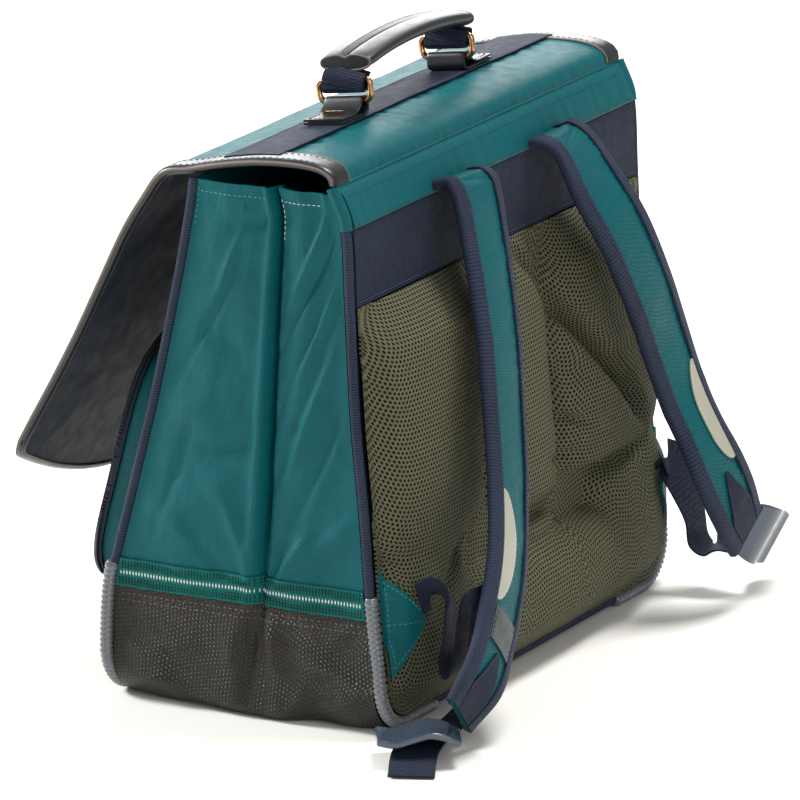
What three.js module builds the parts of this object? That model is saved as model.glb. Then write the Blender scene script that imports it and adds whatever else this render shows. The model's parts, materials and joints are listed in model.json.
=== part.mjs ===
import * as THREE from 'three';

// School satchel worn on the back. Millimetres, +Z up, origin under the middle of the base.
// +X is one end wall, +Y is the side against the wearer, -Y is the side with the flap.

// Body
const BAG_WIDTH = 410;
const BASE_DEPTH = 200;
const BACK_HEIGHT = 358;
const MOUTH_DROP = 4;
const MOUTH_HEIGHT = BACK_HEIGHT - MOUTH_DROP;
const BOOT_HEIGHT = 77;
const CORNER_RADIUS = 30;
const CLOTH = 2.2;
const BOOT_WALL = 2.6;
const PANEL_WALL = 2.5;
const GAP = 0.3;

// Trims sewn to the body
const PIPING_RADIUS = 3.2;
const GUARD_RADIUS = 4.6;
const GUARD_LEG = 93;
const GUARD_FOOT = 42;
const RIBBON_HEIGHT = 19;
const RIBBON_THICKNESS = 1;
const PLEAT_DEPTH = 12;

// Back
const STRIP_HEIGHT = 25;
const BAND_HEIGHT = 52;
const BAND_THICKNESS = 2;
const MESH_EDGE = 2;
const PAD_RISE = 24;

// Flap
const FLAP_HINGE_BACK = 66;
const FLAP_RISE = 13;
const FLAP_CROWN = BACK_HEIGHT + FLAP_RISE;
const FLAP_DROP = 257;
const FLAP_SIDE_RISE = 68;
const FLAP_CORNER = 8;
const FLAP_INSET = 2;
const LINING = 1;
const TRIM_WIDTH = 18;
const TRIM_WALL = 1.4;
const TRIM_ROOM = 0.6;
const WEBBING_BAND_WIDTH = 40;
const WEBBING_BAND_THICKNESS = 1.6;
const WEBBING_BAND_BACK = 3;

// Handle
const HANDLE_SPAN = 144;
const GRIP_WIDTH = 38;
const GRIP_THICKNESS = 12;
const GRIP_LIFT = 28.5;
const GRIP_ARCH = 6;
const GRIP_INSET = 3;
const HANDLE_BACK = 8;
const HANDLE_LEAN = 0.35;
const HANDLE_WEBBING_WIDTH = 30;
const HANDLE_WEBBING_THICKNESS = 1.8;
const RING_WIDTH = 42;
const RING_HEIGHT = 19.6;
const RING_CORNER = 6;
const RING_LIFT = 8.3;
const WEBBING_DIP = 5.5;
const RING_WIRE = 2.1;
const TAB_WIDTH = 28;
const TAB_LENGTH = 34;
const TAB_WALL = 1.8;

// Front pocket and flap fasteners
const POCKET_WIDTH = 360;
const POCKET_HEIGHT = 190;
const POCKET_BOTTOM = 52;
const POCKET_DEPTH = 33;
const ZIP_THICKNESS = 1.2;
const PULL_WIDTH = 7;
const PULL_THICKNESS = 2.4;
const CLASP_SPREAD = 105;
const CLASP_WIDTH = 34;
const CLASP_HEIGHT = 40;
const CLASP_THICKNESS = 6;
const CLASP_ROOM = 1;
const FASTENER_STRAP_WIDTH = 26;
const FASTENER_STRAP_LENGTH = 120;
const FASTENER_STRAP_THICKNESS = 2.2;
const CATCH_LEVEL = 86;
const CATCH_SEAT = 32;

// Shoulder straps
const STRAP_WIDTH = 54;
const STRAP_THICKNESS = 9;
const STRAP_EDGE = 3;
const BINDING_WIDTH = 9;
const BINDING_WALL = 1.3;
const BINDING_GAP = 0.5;
const PATCH_THICKNESS = 0.9;
const PATCH_LIFT = 0.6;
const PATCH_INSET = 1.2;
const REFLECTOR_LENGTH = 60;
const REFLECTOR_WIDTH = 15;
const LABEL_LENGTH = 24;
const END_TAB_LENGTH = 56;
const WEBBING_WIDTH = 30;
const WEBBING_THICKNESS = 1.8;
const WEBBING_SEAT = - 0.6;
const LOCK_LENGTH = 54;
const LOCK_WIDTH = 42;
const LOCK_THICKNESS = 4.4;
const LOCK_WAVE = 6;
const ANCHOR_LENGTH = 70;
const ANCHOR_DEPTH = 27;
const ANCHOR_LEVEL = 74;
const ANCHOR_THICKNESS = 2.2;
const ANCHOR_LIFT = 1;

// Front and back outline of the body, as shares of BACK_HEIGHT and BASE_DEPTH
const BODY_OUTLINE = [
	{ up: 0.0, front: -0.484, back: 0.5 },
	{ up: 0.1, front: -0.49, back: 0.496 },
	{ up: 0.23, front: -0.474, back: 0.468 },
	{ up: 0.4, front: -0.398, back: 0.444 },
	{ up: 0.58, front: -0.315, back: 0.413 },
	{ up: 0.8, front: -0.228, back: 0.392 },
	{ up: 0.94, front: -0.18, back: 0.376 },
	{ up: 1.0, front: -0.165, back: 0.33 },
];

// Heights at which the walls and the seams between them bend, as shares of BACK_HEIGHT
const BODY_LEVELS = [ 0.36, 0.47, 0.58, 0.7, 0.82, 0.94, 0.965 ];

// End wall from its front seam to its back seam: a rib, then a fold that goes in by PLEAT_DEPTH;
// the boot below it takes only the rows marked boot
const END_WALL_FOLDS = [
	{ across: 0.0, sink: 0.0, boot: true },
	{ across: 0.1, sink: -0.1, boot: false },
	{ across: 0.24, sink: -0.22, boot: true },
	{ across: 0.4, sink: -0.14, boot: false },
	{ across: 0.49, sink: -0.06, boot: true },
	{ across: 0.52, sink: -0.24, boot: false },
	{ across: 0.54, sink: -0.22, boot: true },
	{ across: 0.558, sink: 0.25, boot: false },
	{ across: 0.578, sink: 1.0, boot: true },
	{ across: 0.602, sink: 0.28, boot: false },
	{ across: 0.64, sink: 0.1, boot: true },
	{ across: 0.74, sink: -0.08, boot: false },
	{ across: 0.86, sink: 0.1, boot: true },
	{ across: 1.0, sink: 0.0, boot: true },
];

// How much of the fold is left at each height, as shares of BACK_HEIGHT
const FOLD_FADE = [
	{ up: 0.0, fade: 0.0 },
	{ up: 0.09, fade: 0.12 },
	{ up: 0.21, fade: 0.42 },
	{ up: 0.4, fade: 1.0 },
	{ up: 1.0, fade: 0.85 },
];

// Flap from its hinge over the top to the bend at the front, as shares of the hinge's place and the
// crown height, then down the hanging part as shares of FLAP_DROP
const FLAP_TOP = [
	{ back: 1.0, up: 0.967 },
	{ back: 1.0, up: 0.976 },
	{ back: 0.965, up: 0.987 },
	{ back: 0.87, up: 0.9955 },
	{ back: 0.7, up: 1.0 },
	{ back: 0.45, up: 1.0 },
	{ back: 0.13, up: 0.9955 },
	{ back: -0.25, up: 0.983 },
	{ back: -0.55, up: 0.97 },
	{ back: -0.86, up: 0.957 },
];
const FLAP_HANG = [
	{ down: 0.08, forward: 0.062 },
	{ down: 0.16, forward: 0.112 },
	{ down: 0.31, forward: 0.186 },
	{ down: 0.48, forward: 0.27 },
	{ down: 0.74, forward: 0.415 },
	{ down: 1.0, forward: 0.572 },
];

// Padded relief of the back: rounded pads as shares of the mesh's half width and of its height
const PADS = [
	{ name: 'near_upper', at: 0.62, up: 0.68, wide: 0.4, tall: 0.38, rise: 1.0 },
	{ name: 'near_lower', at: 0.72, up: 0.27, wide: 0.27, tall: 0.16, rise: 0.72 },
	{ name: 'far_upper', at: -0.62, up: 0.68, wide: 0.4, tall: 0.38, rise: 1.0 },
	{ name: 'far_lower', at: -0.72, up: 0.27, wide: 0.27, tall: 0.16, rise: 0.72 },
	{ name: 'centre', at: 0.0, up: 0.6, wide: 0.24, tall: 0.42, rise: 0.7 },
	{ name: 'lumbar', at: 0.0, up: 0.13, wide: 1.02, tall: 0.14, rise: 0.96 },
];

// Route of each padded strap, from the seam under the top strip to its free end, as shares of half the
// bag's width, of BASE_DEPTH and of BACK_HEIGHT; face is how far its outer side looks up, in degrees
const NEAR_STRAP = [
	{ out: 0.318, back: 0.4052, up: 0.941, face: 74, wide: 0.94, thick: 0.4 },
	{ out: 0.322, back: 0.462, up: 0.944, face: 60, wide: 0.96, thick: 0.6 },
	{ out: 0.334, back: 0.5, up: 0.912, face: 28, wide: 0.98, thick: 0.85 },
	{ out: 0.36, back: 0.545, up: 0.826, face: 10, wide: 1.0, thick: 1.0 },
	{ out: 0.404, back: 0.612, up: 0.681, face: 0, wide: 1.0, thick: 1.0 },
	{ out: 0.463, back: 0.665, up: 0.544, face: 0, wide: 1.0, thick: 1.0 },
	{ out: 0.55, back: 0.725, up: 0.419, face: 0, wide: 1.0, thick: 1.0 },
	{ out: 0.681, back: 0.79, up: 0.3, face: 0, wide: 1.0, thick: 1.0 },
	{ out: 0.823, back: 0.827, up: 0.204, face: 0, wide: 1.0, thick: 0.95 },
	{ out: 0.945, back: 0.848, up: 0.138, face: 0, wide: 0.96, thick: 0.75 },
	{ out: 1.05, back: 0.812, up: 0.076, face: -8, wide: 0.82, thick: 0.5 },
];
const FAR_STRAP = [
	{ out: 0.318, back: 0.4052, up: 0.941, face: 74, wide: 0.94, thick: 0.4 },
	{ out: 0.322, back: 0.462, up: 0.946, face: 60, wide: 0.96, thick: 0.6 },
	{ out: 0.345, back: 0.512, up: 0.915, face: 26, wide: 0.98, thick: 0.85 },
	{ out: 0.378, back: 0.56, up: 0.856, face: 8, wide: 1.0, thick: 1.0 },
	{ out: 0.448, back: 0.633, up: 0.757, face: 0, wide: 1.0, thick: 1.0 },
	{ out: 0.546, back: 0.676, up: 0.636, face: 0, wide: 1.0, thick: 1.0 },
	{ out: 0.63, back: 0.7, up: 0.526, face: 0, wide: 1.0, thick: 1.0 },
	{ out: 0.676, back: 0.748, up: 0.42, face: 0, wide: 1.0, thick: 1.0 },
	{ out: 0.712, back: 0.834, up: 0.306, face: 0, wide: 1.0, thick: 0.95 },
	{ out: 0.785, back: 0.876, up: 0.214, face: 0, wide: 0.96, thick: 0.75 },
	{ out: 0.862, back: 0.885, up: 0.145, face: 0, wide: 0.82, thick: 0.5 },
];

// Route of each adjusting webbing from the edge of its anchor through its slack to the ladder lock and
// its loose tail, shares as for the straps; acrossX, acrossY and acrossZ point along the webbing's width
const NEAR_WEBBING = [
	{ out: 0.89, back: 0.6, up: 0.25, acrossX: 0.65, acrossY: 0.0, acrossZ: 0.75 },
	{ out: 0.855, back: 0.614, up: 0.262, acrossX: 0.7, acrossY: 0.1, acrossZ: 0.6 },
	{ out: 0.825, back: 0.646, up: 0.248, acrossX: 0.85, acrossY: 0.3, acrossZ: 0.2 },
	{ out: 0.815, back: 0.655, up: 0.195, acrossX: 0.95, acrossY: 0.2, acrossZ: 0.0 },
	{ out: 0.81, back: 0.652, up: 0.13, acrossX: 1.0, acrossY: 0.0, acrossZ: 0.0 },
	{ out: 0.81, back: 0.667, up: 0.108, acrossX: 1.0, acrossY: 0.0, acrossZ: 0.0 },
	{ out: 0.805, back: 0.688, up: 0.125, acrossX: 1.0, acrossY: 0.0, acrossZ: 0.0 },
	{ out: 0.79, back: 0.702, up: 0.184, acrossX: 1.0, acrossY: 0.0, acrossZ: 0.0 },
	{ out: 0.78, back: 0.714, up: 0.246, acrossX: 1.0, acrossY: 0.0, acrossZ: 0.0 },
	{ out: 0.78, back: 0.733, up: 0.264, acrossX: 1.0, acrossY: 0.0, acrossZ: 0.0 },
	{ out: 0.78, back: 0.752, up: 0.246, acrossX: 1.0, acrossY: 0.0, acrossZ: 0.0 },
	{ out: 0.79, back: 0.752, up: 0.19, acrossX: 1.0, acrossY: 0.0, acrossZ: 0.1 },
	{ out: 0.84, back: 0.73, up: 0.09, acrossX: 0.85, acrossY: 0.3, acrossZ: 0.4 },
	{ out: 0.905, back: 0.7, up: 0.03, acrossX: 0.5, acrossY: 0.8, acrossZ: 0.2 },
	{ out: 0.985, back: 0.69, up: 0.028, acrossX: 0.1, acrossY: 1.0, acrossZ: 0.0 },
	{ out: 1.2, back: 0.735, up: 0.024, acrossX: -0.3, acrossY: 1.0, acrossZ: 0.0 },
	{ out: 1.33, back: 0.79, up: 0.005, acrossX: -0.4, acrossY: 0.9, acrossZ: 0.0 },
];
const FAR_WEBBING = [
	{ out: 0.89, back: 0.6, up: 0.25, acrossX: 0.65, acrossY: 0.0, acrossZ: 0.75 },
	{ out: 0.89, back: 0.583, up: 0.262, acrossX: 0.8, acrossY: 0.1, acrossZ: 0.5 },
	{ out: 0.91, back: 0.615, up: 0.225, acrossX: 0.95, acrossY: 0.2, acrossZ: 0.1 },
	{ out: 0.935, back: 0.66, up: 0.15, acrossX: 1.0, acrossY: 0.0, acrossZ: 0.0 },
	{ out: 0.94, back: 0.675, up: 0.1, acrossX: 1.0, acrossY: 0.0, acrossZ: 0.0 },
	{ out: 0.945, back: 0.71, up: 0.085, acrossX: 1.0, acrossY: 0.0, acrossZ: 0.0 },
	{ out: 0.96, back: 0.745, up: 0.095, acrossX: 1.0, acrossY: 0.0, acrossZ: 0.3 },
	{ out: 1.0, back: 0.794, up: 0.108, acrossX: 0.6, acrossY: 0.2, acrossZ: 0.8 },
];

const HALF_WIDTH = BAG_WIDTH / 2;
const SEAM = HALF_WIDTH - 1;
const SEAM_ROOM = PIPING_RADIUS + 1.5 * GAP;
const GUARD_STEP = GUARD_RADIUS - PIPING_RADIUS;
const SEAM_LIFT = GUARD_RADIUS + GUARD_STEP;
const SIDES = [ { name: 'near', sign: 1 }, { name: 'far', sign: - 1 } ];

const COLOURS = {
	teal: 0x1f6462,
	ribbon: 0x007a72,
	navy: 0x2d3752,
	lining: 0x252c3b,
	leather: 0x23292c,
	boot: 0x38342f,
	mesh: 0x5a5843,
	guard: 0x8a8f94,
	reflector: 0xbcbaae,
	gold: 0xb08a55,
	label: 0x5e6a66,
	lock: 0x7d8790,
};
const FINISHES = {
	guard: { roughness: 0.35, metalness: 0 },
	gold: { roughness: 0.25, metalness: 1 },
	lock: { roughness: 0.3, metalness: 0 },
	leather: { roughness: 0.45, metalness: 0 },
	lining: { roughness: 0.5, metalness: 0 },
};

const satchel = new THREE.Group();

function point( x, y, z ) {

	return new THREE.Vector3( x, y, z );

}

// Smooth value of one column at a place given in another column
function column( table, place, value, at ) {

	const last = table.length - 1;
	if ( at <= table[ 0 ][ place ] ) return table[ 0 ][ value ];
	if ( at >= table[ last ][ place ] ) return table[ last ][ value ];
	let i = 0;
	while ( table[ i + 1 ][ place ] < at ) i ++;
	const slope = ( k ) => {

		const a = table[ Math.max( k - 1, 0 ) ];
		const b = table[ Math.min( k + 1, last ) ];
		return ( b[ value ] - a[ value ] ) / ( b[ place ] - a[ place ] );

	};
	const from = table[ i ];
	const to = table[ i + 1 ];
	const span = to[ place ] - from[ place ];
	const t = ( at - from[ place ] ) / span;
	const ease = t * t * ( 3 - 2 * t );
	const leave = t * ( 1 - t ) * ( 1 - t ) * span * slope( i );
	const arrive = t * t * ( t - 1 ) * span * slope( i + 1 );
	return from[ value ] + ( to[ value ] - from[ value ] ) * ease + leave + arrive;

}

// The same, with the rows spaced evenly from 0 to 1
function evenColumn( table, value, share ) {

	const rows = table.map( ( row, i ) => ( { place: i / ( table.length - 1 ), value: row[ value ] } ) );
	return column( rows, 'place', 'value', share );

}

function addPiece( name, colour, points, faces ) {

	const geometry = new THREE.BufferGeometry();
	const flat = points.flatMap( ( p ) => [ p.x, p.y, p.z ] );
	geometry.setAttribute( 'position', new THREE.Float32BufferAttribute( flat, 3 ) );
	geometry.setIndex( turnedOut( points, faces ).flat() );
	geometry.computeVertexNormals();
	const finish = FINISHES[ colour ] ?? { roughness: 0.85, metalness: 0 };
	const material = new THREE.MeshStandardMaterial( { color: COLOURS[ colour ], ...finish } );
	const mesh = new THREE.Mesh( geometry, material );
	mesh.name = name;
	satchel.add( mesh );

}

// A closed shell holds a positive volume when its faces point out
function turnedOut( points, faces ) {

	let volume = 0;
	for ( const [ a, b, c ] of faces ) {

		volume += points[ a ].dot( points[ b ].clone().cross( points[ c ] ) );

	}

	return volume < 0 ? faces.map( ( [ a, b, c ] ) => [ a, c, b ] ) : faces;

}

function quad( faces, a, b, c, d ) {

	faces.push( [ a, b, c ], [ a, c, d ] );

}

function shares( count ) {

	return Array.from( { length: count + 1 }, ( _, i ) => i / count );

}

// A wall between two grids of points that share their outline
function wall( name, colour, outer, inner, us, vs ) {

	const points = [];
	const faces = [];
	for ( const side of [ outer, inner ] ) {

		for ( const u of us ) {

			for ( const v of vs ) points.push( side( u, v ) );

		}

	}

	const rows = us.length;
	const columns = vs.length;
	const at = ( layer, i, j ) => layer * rows * columns + i * columns + j;
	for ( let i = 0; i < rows - 1; i ++ ) {

		for ( let j = 0; j < columns - 1; j ++ ) {

			quad( faces, at( 0, i, j ), at( 0, i + 1, j ), at( 0, i + 1, j + 1 ), at( 0, i, j + 1 ) );
			quad( faces, at( 1, i, j ), at( 1, i, j + 1 ), at( 1, i + 1, j + 1 ), at( 1, i + 1, j ) );

		}

	}

	for ( let i = 0; i < rows - 1; i ++ ) {

		const end = columns - 1;
		quad( faces, at( 0, i, 0 ), at( 1, i, 0 ), at( 1, i + 1, 0 ), at( 0, i + 1, 0 ) );
		quad( faces, at( 0, i, end ), at( 0, i + 1, end ), at( 1, i + 1, end ), at( 1, i, end ) );

	}

	for ( let j = 0; j < columns - 1; j ++ ) {

		const end = rows - 1;
		quad( faces, at( 0, 0, j ), at( 0, 0, j + 1 ), at( 1, 0, j + 1 ), at( 1, 0, j ) );
		quad( faces, at( 0, end, j ), at( 1, end, j ), at( 1, end, j + 1 ), at( 0, end, j + 1 ) );

	}

	addPiece( name, colour, points, faces );

}

// A solid that carries a closed outline through a row of frames
function sweep( name, colour, frames, outline, ring = false ) {

	const points = [];
	const faces = [];
	frames.forEach( ( frame, i ) => {

		for ( const [ a, b ] of outline( i, frame ) ) {

			const place = frame.at.clone().addScaledVector( frame.side, a ).addScaledVector( frame.up, b );
			points.push( place );

		}

	} );
	const around = points.length / frames.length;
	const spans = ring ? frames.length : frames.length - 1;
	for ( let i = 0; i < spans; i ++ ) {

		const next = ( i + 1 ) % frames.length;
		for ( let j = 0; j < around; j ++ ) {

			const k = ( j + 1 ) % around;
			quad( faces, i * around + j, next * around + j, next * around + k, i * around + k );

		}

	}

	if ( ! ring ) closeEnds( faces, frames, outline, around );
	addPiece( name, colour, points, faces );

}

function closeEnds( faces, frames, outline, around ) {

	const last = frames.length - 1;
	for ( const end of [ 0, last ] ) {

		const flat = outline( end, frames[ end ] ).map( ( [ a, b ] ) => new THREE.Vector2( a, b ) );
		const inOrder = ! THREE.ShapeUtils.isClockWise( flat );
		const cap = THREE.ShapeUtils.triangulateShape( inOrder ? flat : [ ...flat ].reverse(), [] );
		const index = ( k ) => end * around + ( inOrder ? k : around - 1 - k );
		const outward = ( end === 0 ) === inOrder;
		for ( const [ a, b, c ] of cap ) {

			const face = [ index( a ), index( b ), index( c ) ];
			faces.push( outward ? face : [ face[ 0 ], face[ 2 ], face[ 1 ] ] );

		}

	}

}

function roundSection( radius, count ) {

	return Array.from( { length: count }, ( _, i ) => {

		const angle = 2 * Math.PI * i / count;
		return [ radius * Math.cos( angle ), radius * Math.sin( angle ) ];

	} );

}

function flatSection( width, thickness ) {

	const a = width / 2;
	const b = thickness / 2;
	return [ [ a, b ], [ - a, b ], [ - a, - b ], [ a, - b ] ];

}

// Frames along a row of points, with the side direction kept square to the route
function framesAlong( points, sideOf ) {

	return points.map( ( at, i ) => {

		const ahead = points[ Math.min( i + 1, points.length - 1 ) ];
		const behind = points[ Math.max( i - 1, 0 ) ];
		const along = ahead.clone().sub( behind ).normalize();
		const side = sideOf( i, along );
		side.addScaledVector( along, - side.dot( along ) ).normalize();
		const up = side.clone().cross( along ).normalize();
		return { at, along, side, up };

	} );

}

function frontLine( z ) {

	return BASE_DEPTH * column( BODY_OUTLINE, 'up', 'front', z / BACK_HEIGHT );

}

function backLine( z ) {

	return BASE_DEPTH * column( BODY_OUTLINE, 'up', 'back', z / BACK_HEIGHT );

}

function foldFade( z ) {

	return column( FOLD_FADE, 'up', 'fade', z / BACK_HEIGHT );

}

// The U-shaped run of the end wall and the bottom, from the near boot top round to the far one
function bootRun( radius, inset ) {

	const half = HALF_WIDTH - inset;
	const run = [];
	for ( const share of shares( 3 ) ) {

		const drop = BOOT_HEIGHT - CORNER_RADIUS;
		run.push( { x: half, z: CORNER_RADIUS + drop * ( 1 - share ), wall: 1 } );

	}

	for ( const share of shares( 4 ).slice( 1 ) ) {

		const angle = share * Math.PI / 2;
		const x = HALF_WIDTH - CORNER_RADIUS + radius * Math.cos( angle );
		run.push( { x, z: CORNER_RADIUS - radius * Math.sin( angle ), wall: Math.cos( angle ) } );

	}

	const flat = run[ run.length - 1 ];
	const middle = [ { x: flat.x / 2, z: flat.z, wall: 0 }, { x: 0, z: flat.z, wall: 0 } ];
	const half1 = [ ...run, ...middle ];
	const half2 = [ ...run, middle[ 0 ] ].reverse().map( ( p ) => ( { ...p, x: - p.x } ) );
	return [ ...half1, ...half2 ];

}

function makeBoot() {

	const outerRun = bootRun( CORNER_RADIUS, 0 );
	const innerRun = bootRun( CORNER_RADIUS - BOOT_WALL, BOOT_WALL );
	const across = END_WALL_FOLDS.filter( ( row ) => row.boot ).map( ( row ) => row.across );
	const surface = ( run ) => ( i, v ) => {

		const p = run[ i ];
		const top = outerRun[ i ].z;
		const front = frontLine( top ) + SEAM_ROOM;
		const back = backLine( top ) - SEAM_ROOM;
		const sink = PLEAT_DEPTH * foldFade( top ) * p.wall * column( END_WALL_FOLDS, 'across', 'sink', v );
		return point( p.x - Math.sign( p.x ) * sink, front + ( back - front ) * v, p.z );

	};

	wall( 'base_boot', 'boot', surface( outerRun ), surface( innerRun ), outerRun.keys().toArray(), across );

}

// Heights from one place up to another, with the levels at which the walls bend in between
function levels( low, high ) {

	const between = BODY_LEVELS.map( ( share ) => share * BACK_HEIGHT );
	return [ low, ...between.filter( ( z ) => z > low + 2 && z < high - 2 ), high ];

}

// Outer face of an end wall; v runs from front to back
function endWall( sign ) {

	return ( z, v ) => {

		const front = frontLine( z ) + SEAM_ROOM;
		const back = backLine( z ) - SEAM_ROOM;
		const fold = PLEAT_DEPTH * foldFade( z ) * column( END_WALL_FOLDS, 'across', 'sink', v );
		return point( sign * ( HALF_WIDTH - fold ), front + ( back - front ) * v, z );

	};

}

function shifted( surface, x ) {

	return ( u, v ) => surface( u, v ).add( point( x, 0, 0 ) );

}

function makeEndWalls() {

	const across = END_WALL_FOLDS.map( ( row ) => row.across );
	const low = BOOT_HEIGHT + GAP;
	const ribbonTop = low + RIBBON_HEIGHT;
	const heights = [ low, ...levels( ribbonTop, MOUTH_HEIGHT ) ];
	for ( const { name, sign } of SIDES ) {

		const cloth = endWall( sign );
		wall( `gusset_${ name }`, 'teal', cloth, shifted( cloth, - sign * CLOTH ), heights, across );
		const over = shifted( cloth, sign * ( GAP + RIBBON_THICKNESS ) );
		const under = shifted( cloth, sign * GAP );
		wall( `ribbon_${ name }`, 'ribbon', over, under, [ low, ribbonTop ], across );

	}

}

// Lowest height of a flat panel at x, where its bottom corners are rounded
function roundedFoot( x, half, radius, foot ) {

	const over = Math.abs( x ) - ( half - radius );
	if ( over <= 0 ) return foot;
	return foot + radius - Math.sqrt( Math.max( radius * radius - over * over, 0 ) );

}

// Places across the width, close together at the rounded corners
function widthShares( middle, corner, half, radius ) {

	const turn = shares( corner ).map( ( s ) => half - radius + radius * Math.sin( s * Math.PI / 2 ) );
	const flat = shares( middle ).map( ( s ) => ( 2 * s - 1 ) * ( half - radius ) );
	const right = turn.slice( 1 );
	return [ ...right.map( ( x ) => - x ).reverse(), ...flat, ...right ];

}

function panel( line, offset, half, radius, foot, top ) {

	return ( x, v ) => {

		const low = roundedFoot( x, half, radius, foot );
		const z = low + ( top - low ) * v;
		return point( x, line( z ) + offset, z );

	};

}

const PANEL_HALF = SEAM - SEAM_ROOM;
const PANEL_CORNER = CORNER_RADIUS - SEAM_ROOM;
const PANEL_FOOT = SEAM_LIFT + SEAM_ROOM;

function makePanels() {

	const xs = widthShares( 4, 3, PANEL_HALF, PANEL_CORNER );
	const outside = PANEL_WALL / 2;
	const front = ( offset ) => panel( frontLine, offset, PANEL_HALF, PANEL_CORNER, PANEL_FOOT, MOUTH_HEIGHT );
	wall( 'front_panel', 'teal', front( - outside ), front( outside ), xs, shares( 7 ) );
	const back = ( offset ) => panel( backLine, offset, PANEL_HALF, PANEL_CORNER, PANEL_FOOT, BACK_HEIGHT );
	wall( 'back_panel', 'lining', back( outside ), back( - outside ), xs, shares( 8 ) );

}

const BACK_FACE = PANEL_WALL / 2 + 2 * GAP;
const BAND_TOP = BACK_HEIGHT - STRIP_HEIGHT;
const MESH_TOP = BAND_TOP - BAND_HEIGHT;

function padRelief( x, z ) {

	const across = x / PANEL_HALF;
	const up = ( z - PANEL_FOOT ) / ( MESH_TOP - PANEL_FOOT );
	let height = 0;
	for ( const pad of PADS ) {

		const reach = Math.abs( ( across - pad.at ) / pad.wide ) ** 3 + Math.abs( ( up - pad.up ) / pad.tall ) ** 3;
		height = Math.max( height, pad.rise * Math.max( 0, 1 - reach ) ** 0.6 );

	}

	const edge = Math.min( 1, ( 1 - Math.abs( across ) ) * 16, up * 12, ( 1 - up ) * 10 );
	return MESH_EDGE + PAD_RISE * height * Math.sqrt( Math.max( edge, 0 ) );

}

function makeBack() {

	const xs = widthShares( 14, 3, PANEL_HALF, PANEL_CORNER );
	const under = panel( backLine, BACK_FACE, PANEL_HALF, PANEL_CORNER, PANEL_FOOT, MESH_TOP );
	const over = ( x, v ) => {

		const p = under( x, v );
		return p.add( point( 0, padRelief( p.x, p.z ), 0 ) );

	};

	wall( 'back_mesh', 'mesh', over, under, xs, shares( 13 ) );
	const flat = ( name, colour, low, high ) => {

		const place = ( offset ) => ( x, v ) => {

			const z = low + ( high - low ) * v;
			return point( x, backLine( z ) + BACK_FACE + offset, z );

		};

		const across = shares( 4 ).map( ( s ) => ( 2 * s - 1 ) * PANEL_HALF );
		wall( name, colour, place( BAND_THICKNESS ), place( 0 ), across, shares( 2 ) );

	};

	flat( 'shoulder_band', 'navy', MESH_TOP + GAP, BAND_TOP - GAP );
	flat( 'top_strip', 'teal', BAND_TOP, BACK_HEIGHT );

}

// A place on the seam round a panel, moved away from the body by step
function seamPoint( line, sign, x, z, step ) {

	const y = line( z );
	return point( sign * x, y + Math.sign( y ) * step, z );

}

// Corner guard: down one end, round the corner and a short way along the bottom
function guardRun( line, sign ) {

	const middle = SEAM - CORNER_RADIUS;
	const level = SEAM_LIFT + CORNER_RADIUS;
	const reach = CORNER_RADIUS + GUARD_STEP;
	const leg = shares( 3 ).map( ( s ) => [ middle + reach, GUARD_LEG + ( level - GUARD_LEG ) * s ] );
	const bend = shares( 6 ).slice( 1 ).map( ( s ) => {

		const angle = s * Math.PI / 2;
		return [ middle + reach * Math.cos( angle ), level - reach * Math.sin( angle ) ];

	} );
	const foot = [ [ middle - GUARD_FOOT, level - reach ] ];
	return [ ...leg, ...bend, ...foot ].map( ( [ x, z ] ) => seamPoint( line, sign, x, z, GUARD_STEP ) );

}

const SEAM_LINES = [
	{ face: 'front', line: frontLine, top: MOUTH_HEIGHT },
	{ face: 'back', line: backLine, top: BACK_HEIGHT },
];

function makePiping() {

	const across = () => point( 0, 1, 0 );
	const cord = () => roundSection( PIPING_RADIUS, 8 );
	for ( const { face, line, top } of SEAM_LINES ) {

		for ( const { name, sign } of SIDES ) {

			const low = GUARD_LEG + GAP;
			const rise = levels( low, top ).map( ( z ) => seamPoint( line, sign, SEAM, z, 0 ) );
			sweep( `piping_${ face }_${ name }`, 'navy', framesAlong( rise, across ), cord );
			const guard = framesAlong( guardRun( line, sign ), across );
			sweep( `guard_${ face }_${ name }`, 'guard', guard, () => roundSection( GUARD_RADIUS, 8 ) );

		}

		const end = SEAM - CORNER_RADIUS - GUARD_FOOT - GAP;
		const foot = shares( 2 ).map( ( s ) => seamPoint( line, 1, ( 2 * s - 1 ) * end, SEAM_LIFT, 0 ) );
		sweep( `piping_${ face }_foot`, 'navy', framesAlong( foot, across ), cord );

	}

}

// Middle line of the flap's cloth, from the hinge to the free edge
function flapRows() {

	const bend = FLAP_TOP[ FLAP_TOP.length - 1 ];
	const top = FLAP_TOP.map( ( row ) => point( 0, row.back * FLAP_HINGE_BACK, row.up * FLAP_CROWN ) );
	const hang = FLAP_HANG.map( ( row ) => point(
		0,
		bend.back * FLAP_HINGE_BACK - row.forward * FLAP_DROP,
		bend.up * FLAP_CROWN - row.down * FLAP_DROP,
	) );
	return [ ...top, ...hang ];

}

const FLAP_CURVE = new THREE.CatmullRomCurve3( flapRows(), false, 'centripetal' );
const FLAP_LENGTH = FLAP_CURVE.getLength();
const FLAP_HALF = HALF_WIDTH - FLAP_INSET;

// The lower edge of the flap rises in an arc towards both sides
function flapReach( x ) {

	const share = Math.min( Math.abs( x ) / FLAP_HALF, 1 );
	const corner = FLAP_CORNER * Math.max( 0, ( share - 0.94 ) / 0.06 ) ** 2;
	return FLAP_LENGTH - FLAP_SIDE_RISE * share ** 1.5 - corner;

}

function flapFace( x, s ) {

	const t = Math.min( Math.max( s / FLAP_LENGTH, 0 ), 1 );
	const p = FLAP_CURVE.getPointAt( t );
	return point( x, p.y, p.z );

}

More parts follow.
